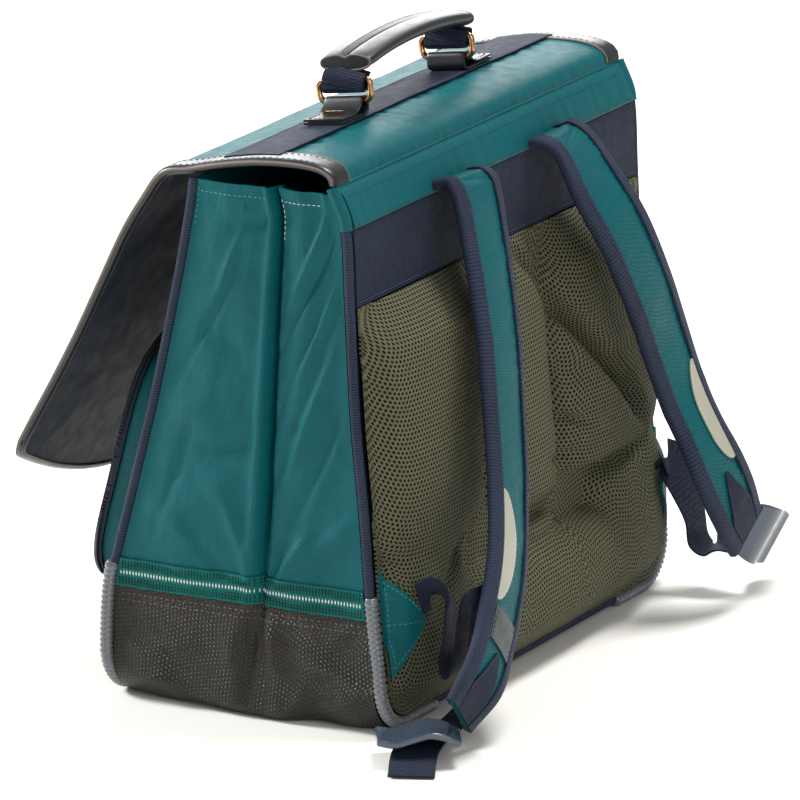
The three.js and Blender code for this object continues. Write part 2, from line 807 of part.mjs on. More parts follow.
function flapNormal( s ) {

	const along = FLAP_CURVE.getTangentAt( Math.min( Math.max( s / FLAP_LENGTH, 0 ), 1 ) );
	return point( 0, along.z, - along.y ).normalize();

}

// Distance along the flap for a share v of the way: the upper half runs the same at every x
function flapRun( x, v ) {

	const half = flapReach( FLAP_HALF ) / 2;
	return v <= 0.5 ? 2 * v * half : half + ( 2 * v - 1 ) * ( flapReach( x ) - half );

}

// Cloth of the flap between two heights; x is the place across the bag, v runs from hinge to edge
function flapLayer( low, high ) {

	const place = ( height ) => ( x, v ) => {

		const s = flapRun( x, v );
		return flapFace( x, s ).addScaledVector( flapNormal( s ), height );

	};

	return { outer: place( high ), inner: place( low ) };

}

function flapColumns( half ) {

	const middle = [ 0, 0.4, 0.7, 0.86, 0.94, 1 ].map( ( s ) => s * half );
	return [ ...middle.slice( 1 ).map( ( x ) => - x ).reverse(), ...middle ];

}

// Shares of the way down the flap at which it bends, close together at the hinge and the front bend
const FLAP_STATIONS = [ 0, 0.012, 0.026, 0.042, 0.062, 0.1, 0.18, 0.28, 0.36, 0.41, 0.45, 0.5, 0.62, 0.8, 1 ];

function makeFlap() {

	const cloth = flapLayer( - CLOTH / 2, CLOTH / 2 );
	wall( 'flap', 'teal', cloth.outer, cloth.inner, flapColumns( FLAP_HALF ), FLAP_STATIONS );
	const underside = - CLOTH / 2 - GAP;
	const lining = flapLayer( underside - LINING, underside );
	wall( 'flap_lining', 'lining', lining.outer, lining.inner, flapColumns( FLAP_HALF ), FLAP_STATIONS );

}

// Edge of the flap from the near hinge down, along the bottom and up to the far hinge
function flapEdge() {

	const edge = [];
	for ( const v of FLAP_STATIONS ) {

		if ( v < 0.9 ) edge.push( { x: FLAP_HALF, s: flapRun( FLAP_HALF, Math.max( v, 0.004 ) ) } );

	}

	const corner = [ 1, 0.94, 0.86, 0.7, 0.4 ];
	for ( const share of corner ) edge.push( { x: share * FLAP_HALF, s: flapReach( share * FLAP_HALF ) } );
	const back = [ ...edge ].reverse().map( ( { x, s } ) => ( { x: - x, s } ) );
	return [ ...edge, { x: 0, s: flapReach( 0 ) }, ...back ];

}

function makeFlapTrim() {

	const edge = flapEdge();
	const frames = edge.map( ( { x, s }, i ) => {

		const ahead = edge[ Math.min( i + 1, edge.length - 1 ) ];
		const behind = edge[ Math.max( i - 1, 0 ) ];
		const run = new THREE.Vector2( ahead.x - behind.x, ahead.s - behind.s ).normalize();
		const up = flapNormal( s );
		const downSlope = point( 1, 0, 0 ).cross( up );
		const outward = point( 1, 0, 0 ).multiplyScalar( run.y ).addScaledVector( downSlope, - run.x );
		return { at: flapFace( x, s ), side: outward, up };

	} );
	const top = CLOTH / 2 + TRIM_ROOM;
	const bottom = - CLOTH / 2 - GAP - LINING - TRIM_ROOM;
	const section = () => [
		[ - TRIM_WIDTH, top ],
		[ TRIM_ROOM, top ],
		[ TRIM_ROOM, bottom ],
		[ - TRIM_WIDTH / 3, bottom ],
		[ - TRIM_WIDTH / 3, bottom - TRIM_WALL ],
		[ TRIM_ROOM + TRIM_WALL, bottom - TRIM_WALL ],
		[ TRIM_ROOM + TRIM_WALL, top + TRIM_WALL ],
		[ - TRIM_WIDTH, top + TRIM_WALL ],
	];
	sweep( 'flap_trim', 'leather', frames, section );

}

// Distance along the flap at which its middle line is at a given y on the top
function flapPlace( y ) {

	let low = 0;
	let high = FLAP_LENGTH / 2;
	for ( let i = 0; i < 40; i ++ ) {

		const middle = ( low + high ) / 2;
		if ( flapFace( 0, middle ).y > y ) low = middle;
		else high = middle;

	}

	return low;

}

function makeFlapBand() {

	const from = flapPlace( WEBBING_BAND_BACK + WEBBING_BAND_WIDTH / 2 );
	const to = flapPlace( WEBBING_BAND_BACK - WEBBING_BAND_WIDTH / 2 );
	const low = CLOTH / 2 + GAP;
	const half = FLAP_HALF - TRIM_WIDTH - GAP;
	const place = ( height ) => ( x, v ) => {

		const s = from + ( to - from ) * v;
		return flapFace( x, s ).addScaledVector( flapNormal( s ), height );

	};

	const across = shares( 4 ).map( ( s ) => ( 2 * s - 1 ) * half );
	wall( 'flap_band', 'navy', place( low + WEBBING_BAND_THICKNESS ), place( low ), across, shares( 4 ) );

}

const HANDLE_SEAT = ( () => {

	const s = flapPlace( HANDLE_BACK );
	const lift = CLOTH / 2 + GAP + WEBBING_BAND_THICKNESS + GAP;
	const at = flapFace( 0, s ).addScaledVector( flapNormal( s ), lift );
	return { at, lean: flapNormal( s ) };

} )();

// Frame at the handle: out along the bag's width and up off the flap
function handlePoint( sign, out, up ) {

	const at = HANDLE_SEAT.at.clone().addScaledVector( HANDLE_SEAT.lean, up );
	return at.add( point( sign * ( HANDLE_SPAN / 2 + out ), 0, 0 ) );

}

// The handle's upper part stands a little towards the wearer
function leaned( frames, ups ) {

	const start = RING_LIFT + RING_HEIGHT / 2;
	frames.forEach( ( frame, i ) => {

		frame.at.y += HANDLE_LEAN * Math.max( 0, ups[ i ] - start );

	} );
	return frames;

}

function stripAlong( name, colour, sign, route, width, thickness ) {

	const points = route.map( ( [ out, up ] ) => handlePoint( sign, out, up ) );
	const side = point( 1, 0, 0 ).cross( HANDLE_SEAT.lean ).normalize();
	const frames = leaned( framesAlong( points, () => side.clone() ), route.map( ( step ) => step[ 1 ] ) );
	sweep( name, colour, frames, () => flatSection( width, thickness ) );

}

// Part of a circle as route points, angles in degrees
function arc( out, up, radius, from, to, count ) {

	return shares( count ).map( ( s ) => {

		const angle = ( from + ( to - from ) * s ) * Math.PI / 180;
		return [ out + radius * Math.cos( angle ), up + radius * Math.sin( angle ) ];

	} );

}

function makeHandle() {

	const wrap = RING_WIRE + GAP;
	for ( const { name, sign } of SIDES ) {

		const tabLoop = wrap + TAB_WALL / 2;
		const flatLow = TAB_WALL / 2;
		const flatHigh = flatLow + TAB_WALL + GAP;
		const tab = [
			[ TAB_LENGTH, flatLow ],
			[ TAB_LENGTH / 2, flatLow ],
			[ - tabLoop * 0.6, flatLow ],
			[ - tabLoop * 1.2, RING_LIFT * 0.45 ],
			...arc( 0, RING_LIFT, tabLoop, 180, 20, 5 ),
			[ TAB_LENGTH * 0.24, flatHigh + 2.2 ],
			[ TAB_LENGTH * 0.42, flatHigh ],
			[ TAB_LENGTH, flatHigh ],
		];
		stripAlong( `handle_tab_${ name }`, 'leather', sign, tab, TAB_WIDTH, TAB_WALL );
		const keeperLift = flatHigh + TAB_WALL / 2 + GAP;
		const bar = [ [ TAB_LENGTH * 0.5, keeperLift + 1 ], [ TAB_LENGTH * 0.5 + 3, keeperLift + 1 ] ];
		stripAlong( `handle_keeper_${ name }`, 'gold', sign, bar, TAB_WIDTH * 0.5, 2 );
		makeRing( name, sign );
		const webLoop = wrap + HANDLE_WEBBING_THICKNESS / 2;
		const dip = RING_LIFT + RING_HEIGHT - 2 * RING_WIRE - WEBBING_DIP;
		const clear = dip + WEBBING_DIP + RING_WIRE;
		const web = [
			[ - webLoop - GRIP_INSET, GRIP_LIFT - GAP ],
			[ - webLoop, clear ],
			...arc( 0, dip, webLoop, 180, 360, 8 ),
			[ webLoop, clear ],
			[ webLoop - GRIP_INSET, GRIP_LIFT - GAP ],
		];
		stripAlong( `handle_webbing_${ name }`, 'navy', sign, web, HANDLE_WEBBING_WIDTH, HANDLE_WEBBING_THICKNESS );

	}

	makeGrip();

}

// Oval ring bent from wire, standing across the handle
function makeRing( name, sign ) {

	const tall = RING_HEIGHT / 2 - RING_WIRE - RING_CORNER;
	const wide = RING_WIDTH / 2 - RING_WIRE - RING_CORNER;
	const side = point( 1, 0, 0 ).cross( HANDLE_SEAT.lean ).normalize();
	const points = [];
	const ups = [];
	for ( const quarter of [ 0, 1, 2, 3 ] ) {

		const acrossSign = quarter === 0 || quarter === 3 ? 1 : - 1;
		const upSign = quarter < 2 ? 1 : - 1;
		for ( const share of shares( 3 ) ) {

			const angle = ( quarter + share ) * Math.PI / 2;
			const across = acrossSign * wide + RING_CORNER * Math.cos( angle );
			const up = RING_LIFT + tall + RING_CORNER + upSign * tall + RING_CORNER * Math.sin( angle );
			points.push( handlePoint( sign, 0, up ).addScaledVector( side, across ) );
			ups.push( up );

		}

	}

	const count = points.length;
	const frames = points.map( ( at, i ) => {

		const along = points[ ( i + 1 ) % count ].clone().sub( points[ ( i + count - 1 ) % count ] ).normalize();
		const across = point( 1, 0, 0 );
		return { at, side: across, up: across.clone().cross( along ) };

	} );
	sweep( `handle_ring_${ name }`, 'gold', leaned( frames, ups ), () => roundSection( RING_WIRE, 6 ), true );

}

// Two stuffed leather rolls side by side with a seam between them
const GRIP_SECTION = [
	{ across: 0.5, up: 0.0 },
	{ across: 0.4, up: 0.42 },
	{ across: 0.2, up: 0.5 },
	{ across: 0.0, up: 0.34 },
	{ across: - 0.2, up: 0.5 },
	{ across: - 0.4, up: 0.42 },
	{ across: - 0.5, up: 0.0 },
	{ across: - 0.38, up: - 0.42 },
	{ across: 0.0, up: - 0.5 },
	{ across: 0.38, up: - 0.42 },
];

function makeGrip() {

	const reach = HANDLE_SPAN / 2 + RING_WIRE - GRIP_INSET + HANDLE_WEBBING_THICKNESS;
	const xs = shares( 8 ).map( ( s ) => ( 2 * s - 1 ) * reach );
	const ups = xs.map( ( x ) => GRIP_LIFT + GRIP_THICKNESS / 2 + GRIP_ARCH * ( 1 - ( x / reach ) ** 2 ) );
	const points = xs.map( ( x, i ) => handlePoint( 1, x - HANDLE_SPAN / 2, ups[ i ] ) );
	const side = point( 1, 0, 0 ).cross( HANDLE_SEAT.lean ).normalize();
	const frames = leaned( framesAlong( points, () => side.clone() ), ups.map( () => GRIP_LIFT ) );
	const section = GRIP_SECTION.map( ( row ) => [ row.across * GRIP_WIDTH, row.up * GRIP_THICKNESS ] );
	sweep( 'handle_grip', 'leather', frames, () => section );

}

// Pocket from its sewn edge up its side wall and over its face, as shares of size and depth
const POCKET_PROFILE = [
	{ inward: 0.0, depth: 0.0 },
	{ inward: 0.012, depth: 0.4 },
	{ inward: 0.035, depth: 0.66 },
	{ inward: 0.1, depth: 0.86 },
	{ inward: 0.3, depth: 0.96 },
	{ inward: 0.7, depth: 1.0 },
];

function pocketFace( turn, ring, skin ) {

	const squareness = 0.42;
	const c = Math.cos( turn );
	const s = Math.sin( turn );
	const inward = evenColumn( POCKET_PROFILE, 'inward', ring );
	const depth = POCKET_DEPTH * evenColumn( POCKET_PROFILE, 'depth', ring );
	const x = ( POCKET_WIDTH / 2 * ( 1 - inward ) - skin ) * Math.sign( c ) * Math.abs( c ) ** squareness;
	const rise = ( POCKET_HEIGHT / 2 * ( 1 - inward ) - skin ) * Math.sign( s ) * Math.abs( s ) ** squareness;
	const z = POCKET_BOTTOM + POCKET_HEIGHT / 2 + rise;
	const y = frontLine( z ) - PANEL_WALL / 2 - GAP - Math.max( depth - skin, 0 );
	return point( x, y, z );

}

function makePocket() {

	const around = 24;
	const rings = POCKET_PROFILE.length;
	const points = [];
	const faces = [];
	for ( const skin of [ 0, CLOTH ] ) {

		for ( let k = 0; k < rings; k ++ ) {

			for ( let i = 0; i < around; i ++ ) {

				points.push( pocketFace( 2 * Math.PI * i / around, k / ( rings - 1 ), skin ) );

			}

		}

		points.push( pocketMiddle( skin ) );

	}

	const size = rings * around + 1;
	for ( const side of [ 0, 1 ] ) {

		const at = ( k, i ) => side * size + k * around + i % around;
		for ( let k = 0; k < rings - 1; k ++ ) {

			for ( let i = 0; i < around; i ++ ) {

				if ( side ) quad( faces, at( k, i ), at( k + 1, i ), at( k + 1, i + 1 ), at( k, i + 1 ) );
				else quad( faces, at( k, i ), at( k, i + 1 ), at( k + 1, i + 1 ), at( k + 1, i ) );

			}

		}

		for ( let i = 0; i < around; i ++ ) {

			const top = [ at( rings - 1, i ), at( rings - 1, i + 1 ), side * size + size - 1 ];
			faces.push( side ? [ top[ 1 ], top[ 0 ], top[ 2 ] ] : top );

		}

	}

	for ( let i = 0; i < around; i ++ ) {

		const next = ( i + 1 ) % around;
		quad( faces, i, size + i, size + next, next );

	}

	addPiece( 'front_pocket', 'teal', points, faces );

}

function pocketMiddle( skin ) {

	const z = POCKET_BOTTOM + POCKET_HEIGHT / 2;
	return point( 0, frontLine( z ) - PANEL_WALL / 2 - GAP - POCKET_DEPTH + skin, z );

}

// Pull of the zip, hanging from the middle of the teeth at their near end
const PULL_ROUTE = [
	{ x: 1.1, y: 0, z: 0 },
	{ x: 3, y: - 3, z: - 9 },
	{ x: 4.5, y: - 5, z: - 26 },
];

function makeZip() {

	const turns = shares( 22 ).map( ( s ) => ( - 40 + 260 * s ) * Math.PI / 180 );
	const low = 0.21;
	const high = 0.39;
	const face = ( height ) => ( turn, v ) => {

		const ring = low + ( high - low ) * v;
		const p = pocketFace( turn, ring, 0 );
		const along = pocketFace( turn + 0.01, ring, 0 ).sub( pocketFace( turn - 0.01, ring, 0 ) );
		const inward = pocketFace( turn, ring + 0.02, 0 ).sub( pocketFace( turn, ring - 0.02, 0 ) );
		return p.addScaledVector( along.cross( inward ).normalize(), height );

	};

	const lift = 3 * GAP;
	wall( 'pocket_zip', 'navy', face( lift + ZIP_THICKNESS ), face( lift ), turns, shares( 1 ) );
	const start = face( lift + ZIP_THICKNESS + GAP )( turns[ 0 ], 0.5 );
	const hang = PULL_ROUTE.map( ( row ) => start.clone().add( point( row.x, row.y, row.z ) ) );
	const frames = framesAlong( hang, () => point( 0, 1, 0 ) );
	sweep( 'zip_slider', 'leather', frames, () => flatSection( PULL_WIDTH, PULL_THICKNESS ) );

}

function makeFasteners() {

	for ( const { name, sign } of SIDES ) {

		const x = sign * CLASP_SPREAD;
		const end = flapReach( Math.abs( x ) + CLASP_WIDTH / 2 ) - TRIM_WIDTH - CLASP_ROOM;
		const low = CLOTH / 2 + 4 * GAP;
		const slab = ( from, to, half, bottom, top ) => {

			const place = ( height ) => ( u, v ) => {

				const s = from + ( to - from ) * v;
				return flapFace( x + u * half, s ).addScaledVector( flapNormal( s ), height );

			};

			return { outer: place( top ), inner: place( bottom ) };

		};

		const strapTop = end - FASTENER_STRAP_LENGTH;
		const leather = slab( strapTop, end, FASTENER_STRAP_WIDTH / 2, low, low + FASTENER_STRAP_THICKNESS );
		const sides = [ - 1, 1 ];
		wall( `flap_strap_${ name }`, 'leather', leather.outer, leather.inner, sides, shares( 5 ) );
		const seat = low + FASTENER_STRAP_THICKNESS + GAP;
		const claspTop = end - CLASP_HEIGHT;
		const clasp = slab( claspTop, end, CLASP_WIDTH / 2, seat, seat + CLASP_THICKNESS );
		wall( `flap_clasp_${ name }`, 'lock', clasp.outer, clasp.inner, sides, shares( 2 ) );
		makeCatch( name, x );

	}

}

// Catch on the pocket's face that the flap's clasp closes onto
function makeCatch( name, x ) {

	const foot = POCKET_BOTTOM + POCKET_HEIGHT / 2;
	const deepest = frontLine( foot ) - CATCH_SEAT;
	const behind = ( z ) => Math.min( frontLine( z ) - PANEL_WALL / 2 - CATCH_SEAT - 2 * GAP, deepest );
	const place = ( height ) => ( u, v ) => {

		const z = CATCH_LEVEL + CLASP_HEIGHT * ( v - 0.5 );
		return point( x + u * CLASP_WIDTH / 2, behind( z ) - height, z );

	};

	wall( `catch_${ name }`, 'lock', place( CLASP_THICKNESS ), place( 0 ), [ - 1, 1 ], shares( 2 ) );

}

// Frame of a padded strap at a share of its length
function strapFrame( table, sign, t ) {

	const place = ( share ) => point(
		sign * HALF_WIDTH * evenColumn( table, 'out', share ),
		BASE_DEPTH * evenColumn( table, 'back', share ),
		BACK_HEIGHT * evenColumn( table, 'up', share ),
	);
	const step = 0.004;
	const along = place( Math.min( t + step, 1 ) ).sub( place( Math.max( t - step, 0 ) ) ).normalize();
	const face = evenColumn( table, 'face', t ) * Math.PI / 180;
	const up = point( 0, Math.cos( face ), Math.sin( face ) );
	up.addScaledVector( along, - up.dot( along ) ).normalize();
	const side = up.clone().cross( along ).multiplyScalar( - sign );
	const half = STRAP_WIDTH / 2 * evenColumn( table, 'wide', t );
	const thick = STRAP_THICKNESS * evenColumn( table, 'thick', t );
	return { at: place( t ), along, side, up, half, thick };

}

// Height of the strap's skin above its middle line at a distance across it
function strapHeight( frame, across ) {

	const edge = STRAP_EDGE / 2;
	const flat = frame.half - BINDING_WIDTH;
	const crown = Math.max( frame.thick / 2, edge );
	const shoulder = edge + ( crown - edge ) * 0.55;
	const a = Math.abs( across );
	if ( a >= flat ) return edge + ( shoulder - edge ) * ( frame.half - a ) / BINDING_WIDTH;
	return shoulder + ( crown - shoulder ) * ( 1 - ( a / flat ) ** 2 );

}

function padSection( frame ) {

	const flat = frame.half - BINDING_WIDTH;
	const places = [ frame.half, flat, 0, - flat, - frame.half ];
	const top = places.map( ( a ) => [ a, strapHeight( frame, a ) ] );
	const bottom = [ ...places ].reverse().map( ( a ) => [ a, - strapHeight( frame, a ) ] );
	return [ ...top, ...bottom ];

}

function bindingSection( frame, edge ) {

	const inner = frame.half - BINDING_WIDTH;
	const low = strapHeight( frame, inner ) + BINDING_GAP;
	const tip = strapHeight( frame, frame.half ) + BINDING_GAP;
	const out = frame.half + BINDING_GAP;
	const points = [
		[ inner, low ],
		[ out, tip ],
		[ out, - tip ],
		[ inner, - low ],
		[ inner, - low - BINDING_WALL ],
		[ out + BINDING_WALL, - tip - BINDING_WALL ],
		[ out + BINDING_WALL, tip + BINDING_WALL ],
		[ inner, low + BINDING_WALL ],
	];
	return points.map( ( [ a, b ] ) => [ edge * a, b ] );

}

// A thin patch on the outer face of a strap; run gives its two sides across the strap at each place
function strapPatch( name, colour, table, sign, [ from, to ], run ) {

	const place = ( height ) => ( u, v ) => {

		const frame = strapFrame( table, sign, from + ( to - from ) * u );
		const [ a, b ] = run( u, frame );
		const across = a + ( b - a ) * v;
		const rise = strapHeight( frame, across ) + PATCH_LIFT + height;
		return frame.at.clone().addScaledVector( frame.side, across ).addScaledVector( frame.up, rise );

	};

	wall( name, colour, place( PATCH_THICKNESS ), place( 0 ), shares( 8 ), shares( 3 ) );

}

function strapLength( table ) {

	let length = 0;
	for ( const t of shares( 60 ).slice( 1 ) ) {

		length += strapFrame( table, 1, t ).at.distanceTo( strapFrame( table, 1, t - 1 / 60 ).at );

	}

	return length;

}

const STRAPS = [
	{ name: 'near', sign: 1, table: NEAR_STRAP, webbing: NEAR_WEBBING, reflectorAt: 0.69 },
	{ name: 'far', sign: - 1, table: FAR_STRAP, webbing: FAR_WEBBING, reflectorAt: 0.74 },
];

// Stations along a strap, closer together over the fold at its root
function strapPlaces() {

	const root = [ 0, 0.04, 0.08, 0.12, 0.16, 0.2 ];
	return [ ...root, ...shares( 11 ).slice( 1 ).map( ( s ) => 0.2 + 0.8 * s ) ];

}

function makeStraps() {

	for ( const { name, sign, table, reflectorAt } of STRAPS ) {

		const frames = strapPlaces().map( ( t ) => strapFrame( table, sign, t ) );
		sweep( `strap_pad_${ name }`, 'teal', frames, ( i, frame ) => padSection( frame ) );
		for ( const [ edge, label ] of [ [ 1, 'inner' ], [ - 1, 'outer' ] ] ) {

			const section = ( i, frame ) => bindingSection( frame, edge );
			sweep( `strap_binding_${ label }_${ name }`, 'navy', frames, section );

		}

		const length = strapLength( table );
		const reach = REFLECTOR_LENGTH / length / 2;
		const reflector = ( u, frame ) => {

			const edge = frame.half - BINDING_WIDTH - PATCH_INSET;
			return [ edge, edge - 1 - REFLECTOR_WIDTH * Math.sin( Math.PI * u ) ** 0.6 ];

		};

		const from = reflectorAt - reach;
		const to = reflectorAt + reach;
		strapPatch( `strap_reflector_${ name }`, 'reflector', table, sign, [ from, to ], reflector );
		const tabStart = 1 - END_TAB_LENGTH / length;
		const tab = ( u, frame ) => {

			const edge = frame.half - BINDING_WIDTH - PATCH_INSET;
			const taper = Math.min( 1, 0.12 + 1.5 * u );
			return [ edge * taper, - edge * taper ];

		};

		strapPatch( `strap_end_tab_${ name }`, 'navy', table, sign, [ tabStart, 1 ], tab );

	}

	const near = STRAPS[ 0 ];
	const span = LABEL_LENGTH / strapLength( near.table ) / 2;
	const across = ( u, frame ) => {

		const edge = frame.half - BINDING_WIDTH - PATCH_INSET;
		return [ edge, - edge ];

	};

	const labelAt = 1 - END_TAB_LENGTH / strapLength( near.table ) - span - 0.01;
	strapPatch( 'strap_label', 'label', near.table, 1, [ labelAt - span, labelAt + span ], across );

}

// How far back the anchor and the pads reach under the end of its webbing
function anchorTop( at, row ) {

	const reach = shares( 6 ).map( ( s ) => {

		const step = ( s - 0.5 ) * WEBBING_WIDTH;
		const x = Math.abs( at.x ) + step * row.acrossX;
		const z = at.z + step * row.acrossZ;
		return backLine( z ) + BACK_FACE + padRelief( x, z );

	} );
	return Math.max( ...reach ) + ANCHOR_LIFT + ANCHOR_THICKNESS;

}

// Adjusting webbing: flat strip that keeps its slack as it lies
function makeWebbing() {

	for ( const { name, sign, webbing } of STRAPS ) {

		const places = webbing.map( ( row ) => point(
			sign * row.out * HALF_WIDTH,
			row.back * BASE_DEPTH,
			row.up * BACK_HEIGHT,
		) );
		places[ 0 ].y = anchorTop( places[ 0 ], webbing[ 0 ] ) + WEBBING_SEAT + WEBBING_THICKNESS / 2;
		const route = new THREE.CatmullRomCurve3( places, false, 'centripetal' );
		const count = 2 * ( webbing.length - 1 );
		const points = shares( count ).map( ( s ) => route.getPoint( s ) );
		const across = ( i ) => point(
			sign * evenColumn( webbing, 'acrossX', i / count ),
			evenColumn( webbing, 'acrossY', i / count ),
			evenColumn( webbing, 'acrossZ', i / count ),
		);
		const frames = framesAlong( points, across );
		sweep( `strap_webbing_${ name }`, 'navy', frames, () => flatSection( WEBBING_WIDTH, WEBBING_THICKNESS ) );

	}

}

// Ladder lock: a wavy plate that grips the webbing
const LOCK_SECTION = [
	{ along: - 0.5, rise: - 0.5 },
	{ along: - 0.3, rise: 0.35 },
	{ along: - 0.1, rise: 0.6 },
	{ along: 0.12, rise: 0.1 },
	{ along: 0.3, rise: - 0.35 },
	{ along: 0.5, rise: - 0.1 },
];
const LOCK_PLACES = [
	{
		name: 'near',
		at: [ 1.139, 0.716, 0.047 ],
		along: [ 0.5, - 0.86, 0 ],
		across: [ 0.86, 0.5, 0.06 ],
	},
	{
		name: 'far',
		at: [ - 1.056, 0.859, 0.109 ],
		along: [ - 0.8, - 0.1, - 0.3 ],
		across: [ 0.05, - 0.36, - 0.92 ],
	},
];

function makeLocks() {

	for ( const { name, at, along, across } of LOCK_PLACES ) {

		const centre = point( at[ 0 ] * HALF_WIDTH, at[ 1 ] * BASE_DEPTH, at[ 2 ] * BACK_HEIGHT );
		const length = point( ...along ).normalize();
		const width = point( ...across );
		width.addScaledVector( length, - width.dot( length ) ).normalize();
		const up = width.clone().cross( length );
		if ( up.z + 0.5 * up.y < 0 ) up.negate();
		const line = LOCK_SECTION.map( ( row ) => centre.clone()
			.addScaledVector( length, row.along * LOCK_LENGTH )
			.addScaledVector( up, row.rise * LOCK_WAVE ) );
		const frames = framesAlong( line, () => width.clone() );
		sweep( `ladder_lock_${ name }`, 'lock', frames, () => flatSection( LOCK_WIDTH, LOCK_THICKNESS ) );

	}

}

function makeAnchors() {

	for ( const { name, sign } of SIDES ) {

		const inner = SEAM - SEAM_ROOM - GAP;
		const place = ( height ) => ( u, v ) => {

			const x = inner - ANCHOR_DEPTH * u;
			const half = ANCHOR_LENGTH / 2 * ( 1 - 0.94 * u );
			const z = ANCHOR_LEVEL + half * ( 2 * v - 1 );
			const lift = padRelief( x, z ) + ANCHOR_LIFT;
			return point( sign * x, backLine( z ) + BACK_FACE + lift + height, z );

		};

		wall( `anchor_${ name }`, 'teal', place( ANCHOR_THICKNESS ), place( 0 ), shares( 4 ), shares( 4 ) );

	}

}

makeBoot();
makeEndWalls();
makePanels();
makeBack();
makePiping();
makeFlap();
makeFlapTrim();
makeFlapBand();
makeHandle();
makePocket();
makeZip();
makeFasteners();
makeStraps();
makeWebbing();
makeLocks();
makeAnchors();

export default satchel;
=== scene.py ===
# %% [markdown]
# # A school ransel, dressed in cloth, webbing, mesh and leather
# A ransel is a box of coated cloth with a stiff flap, a padded back and two curved straps. The solids that
# carry it come first, as a fixed frame. Each soft piece is then made again with a finer surface in the same
# place, because a wall of flat faces can't show a fold, a rib or a stitch.

# %% Frame
import json
import math
from bisect import bisect_right

import bmesh
import bpy
import numpy as np
from mathutils import Matrix, Vector, noise

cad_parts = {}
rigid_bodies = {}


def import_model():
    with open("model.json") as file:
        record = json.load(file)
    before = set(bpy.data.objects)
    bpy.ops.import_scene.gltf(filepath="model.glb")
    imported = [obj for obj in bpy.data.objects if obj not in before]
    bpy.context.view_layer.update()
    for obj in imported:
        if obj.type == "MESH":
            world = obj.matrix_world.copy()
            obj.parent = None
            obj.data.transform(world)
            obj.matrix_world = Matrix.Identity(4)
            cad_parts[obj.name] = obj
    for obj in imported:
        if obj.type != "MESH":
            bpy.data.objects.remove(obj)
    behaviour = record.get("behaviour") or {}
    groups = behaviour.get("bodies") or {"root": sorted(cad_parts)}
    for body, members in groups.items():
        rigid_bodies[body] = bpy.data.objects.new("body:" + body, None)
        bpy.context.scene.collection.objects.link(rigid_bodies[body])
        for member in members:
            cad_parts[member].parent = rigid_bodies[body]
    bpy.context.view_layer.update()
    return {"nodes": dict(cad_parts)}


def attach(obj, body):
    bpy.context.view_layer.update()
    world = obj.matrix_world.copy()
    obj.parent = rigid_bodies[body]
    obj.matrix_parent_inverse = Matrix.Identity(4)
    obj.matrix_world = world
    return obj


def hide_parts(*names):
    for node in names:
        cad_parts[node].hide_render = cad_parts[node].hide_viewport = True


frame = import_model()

MM = 0.001
print("frame nodes:", len(frame["nodes"]))

# %% [markdown]
# ## Camera
# The bag was photographed from a long way off with a long lens, so its edges stay nearly parallel. The camera
# looks from behind, 15 degrees above the floor. It stands at a distance along one direction and aims at a
# point a little below the middle of the bag, which puts the bag in the frame without any lens shift.

# %% Camera
VIEW_BACK = Vector((0.8564, 0.4458, 0.2605)).normalized()
VIEW_RIGHT = Vector((0, 0, 1)).cross(VIEW_BACK).normalized()
VIEW_UP = VIEW_BACK.cross(VIEW_RIGHT)
CAMERA_DISTANCE = 6.12
FOCAL_LENGTH_MM = 418.5
AIM = Vector((0, 0, 0.195)) + VIEW_RIGHT * 0.00724 - VIEW_UP * 0.0308

lens = bpy.data.cameras.new("camera")
lens.lens = FOCAL_LENGTH_MM
lens.sensor_width = 36
lens.clip_end = 60
camera = bpy.data.objects.new("camera", lens)
camera.matrix_world = Matrix.Translation(AIM + VIEW_BACK * CAMERA_DISTANCE) @ Matrix(
    (VIEW_RIGHT, VIEW_UP, VIEW_BACK)).transposed().to_4x4()
bpy.context.scene.collection.objects.link(camera)
bpy.context.scene.camera = camera

# %% [markdown]
# ## Shape of the bag
# A table with named columns holds the front and back outline as shares of the height and the depth. A smooth
# line through the rows gives the place of a wall at any height, so the piping, the walls and the padding all
# follow one outline.

# %% Sizes in millimetres
HALF_WIDTH = 205
DEPTH = 200
HEIGHT = 358
MOUTH = 354
BOOT_TOP = 77
CORNER = 30
CLOTH = 2.2
BOOT_WALL = 2.6
GAP = 0.3
PIPING = 3.2
GUARD = 4.6
GUARD_LEG = 93
GUARD_FOOT = 42
RIBBON = 19
PLEAT = 12
STRIP = 25
BAND = 52
SEAM = HALF_WIDTH - 1
SEAM_ROOM = PIPING + 1.5 * GAP
GUARD_STEP = GUARD - PIPING
SEAM_LIFT = GUARD + GUARD_STEP
PANEL_HALF = SEAM - SEAM_ROOM
PANEL_CORNER = CORNER - SEAM_ROOM
PANEL_FOOT = SEAM_LIFT + SEAM_ROOM
BAND_TOP = HEIGHT - STRIP
MESH_TOP = BAND_TOP - BAND
BACK_FACE = 1.25 + 2 * GAP
SIDES = (("near", 1), ("far", -1))

# %% Smooth lines through table rows


def smooth_line(places, values):
    last = len(places) - 1
    slopes = []
    for i in range(last + 1):
        a, b = max(i - 1, 0), min(i + 1, last)
        slopes.append((values[b] - values[a]) / (places[b] - places[a]))

    def value(at):
        if at <= places[0]:
            return values[0]
        if at >= places[last]:
            return values[last]
        i = bisect_right(places, at) - 1
        span = places[i + 1] - places[i]
        t = (at - places[i]) / span
        ease = t * t * (3 - 2 * t)
        leave = t * (1 - t) * (1 - t) * span * slopes[i]
        arrive = t * t * (t - 1) * span * slopes[i + 1]
        return values[i] + (values[i + 1] - values[i]) * ease + leave + arrive

    return value


def table_lines(columns, rows, place=None):
    """One smooth line per named column, over the column called place or over even steps from 0 to 1."""
    table = dict(zip(columns, zip(*rows)))
    steps = table[place] if place else [i / (len(rows) - 1) for i in range(len(rows))]
    return {name: smooth_line(steps, values) for name, values in table.items()}


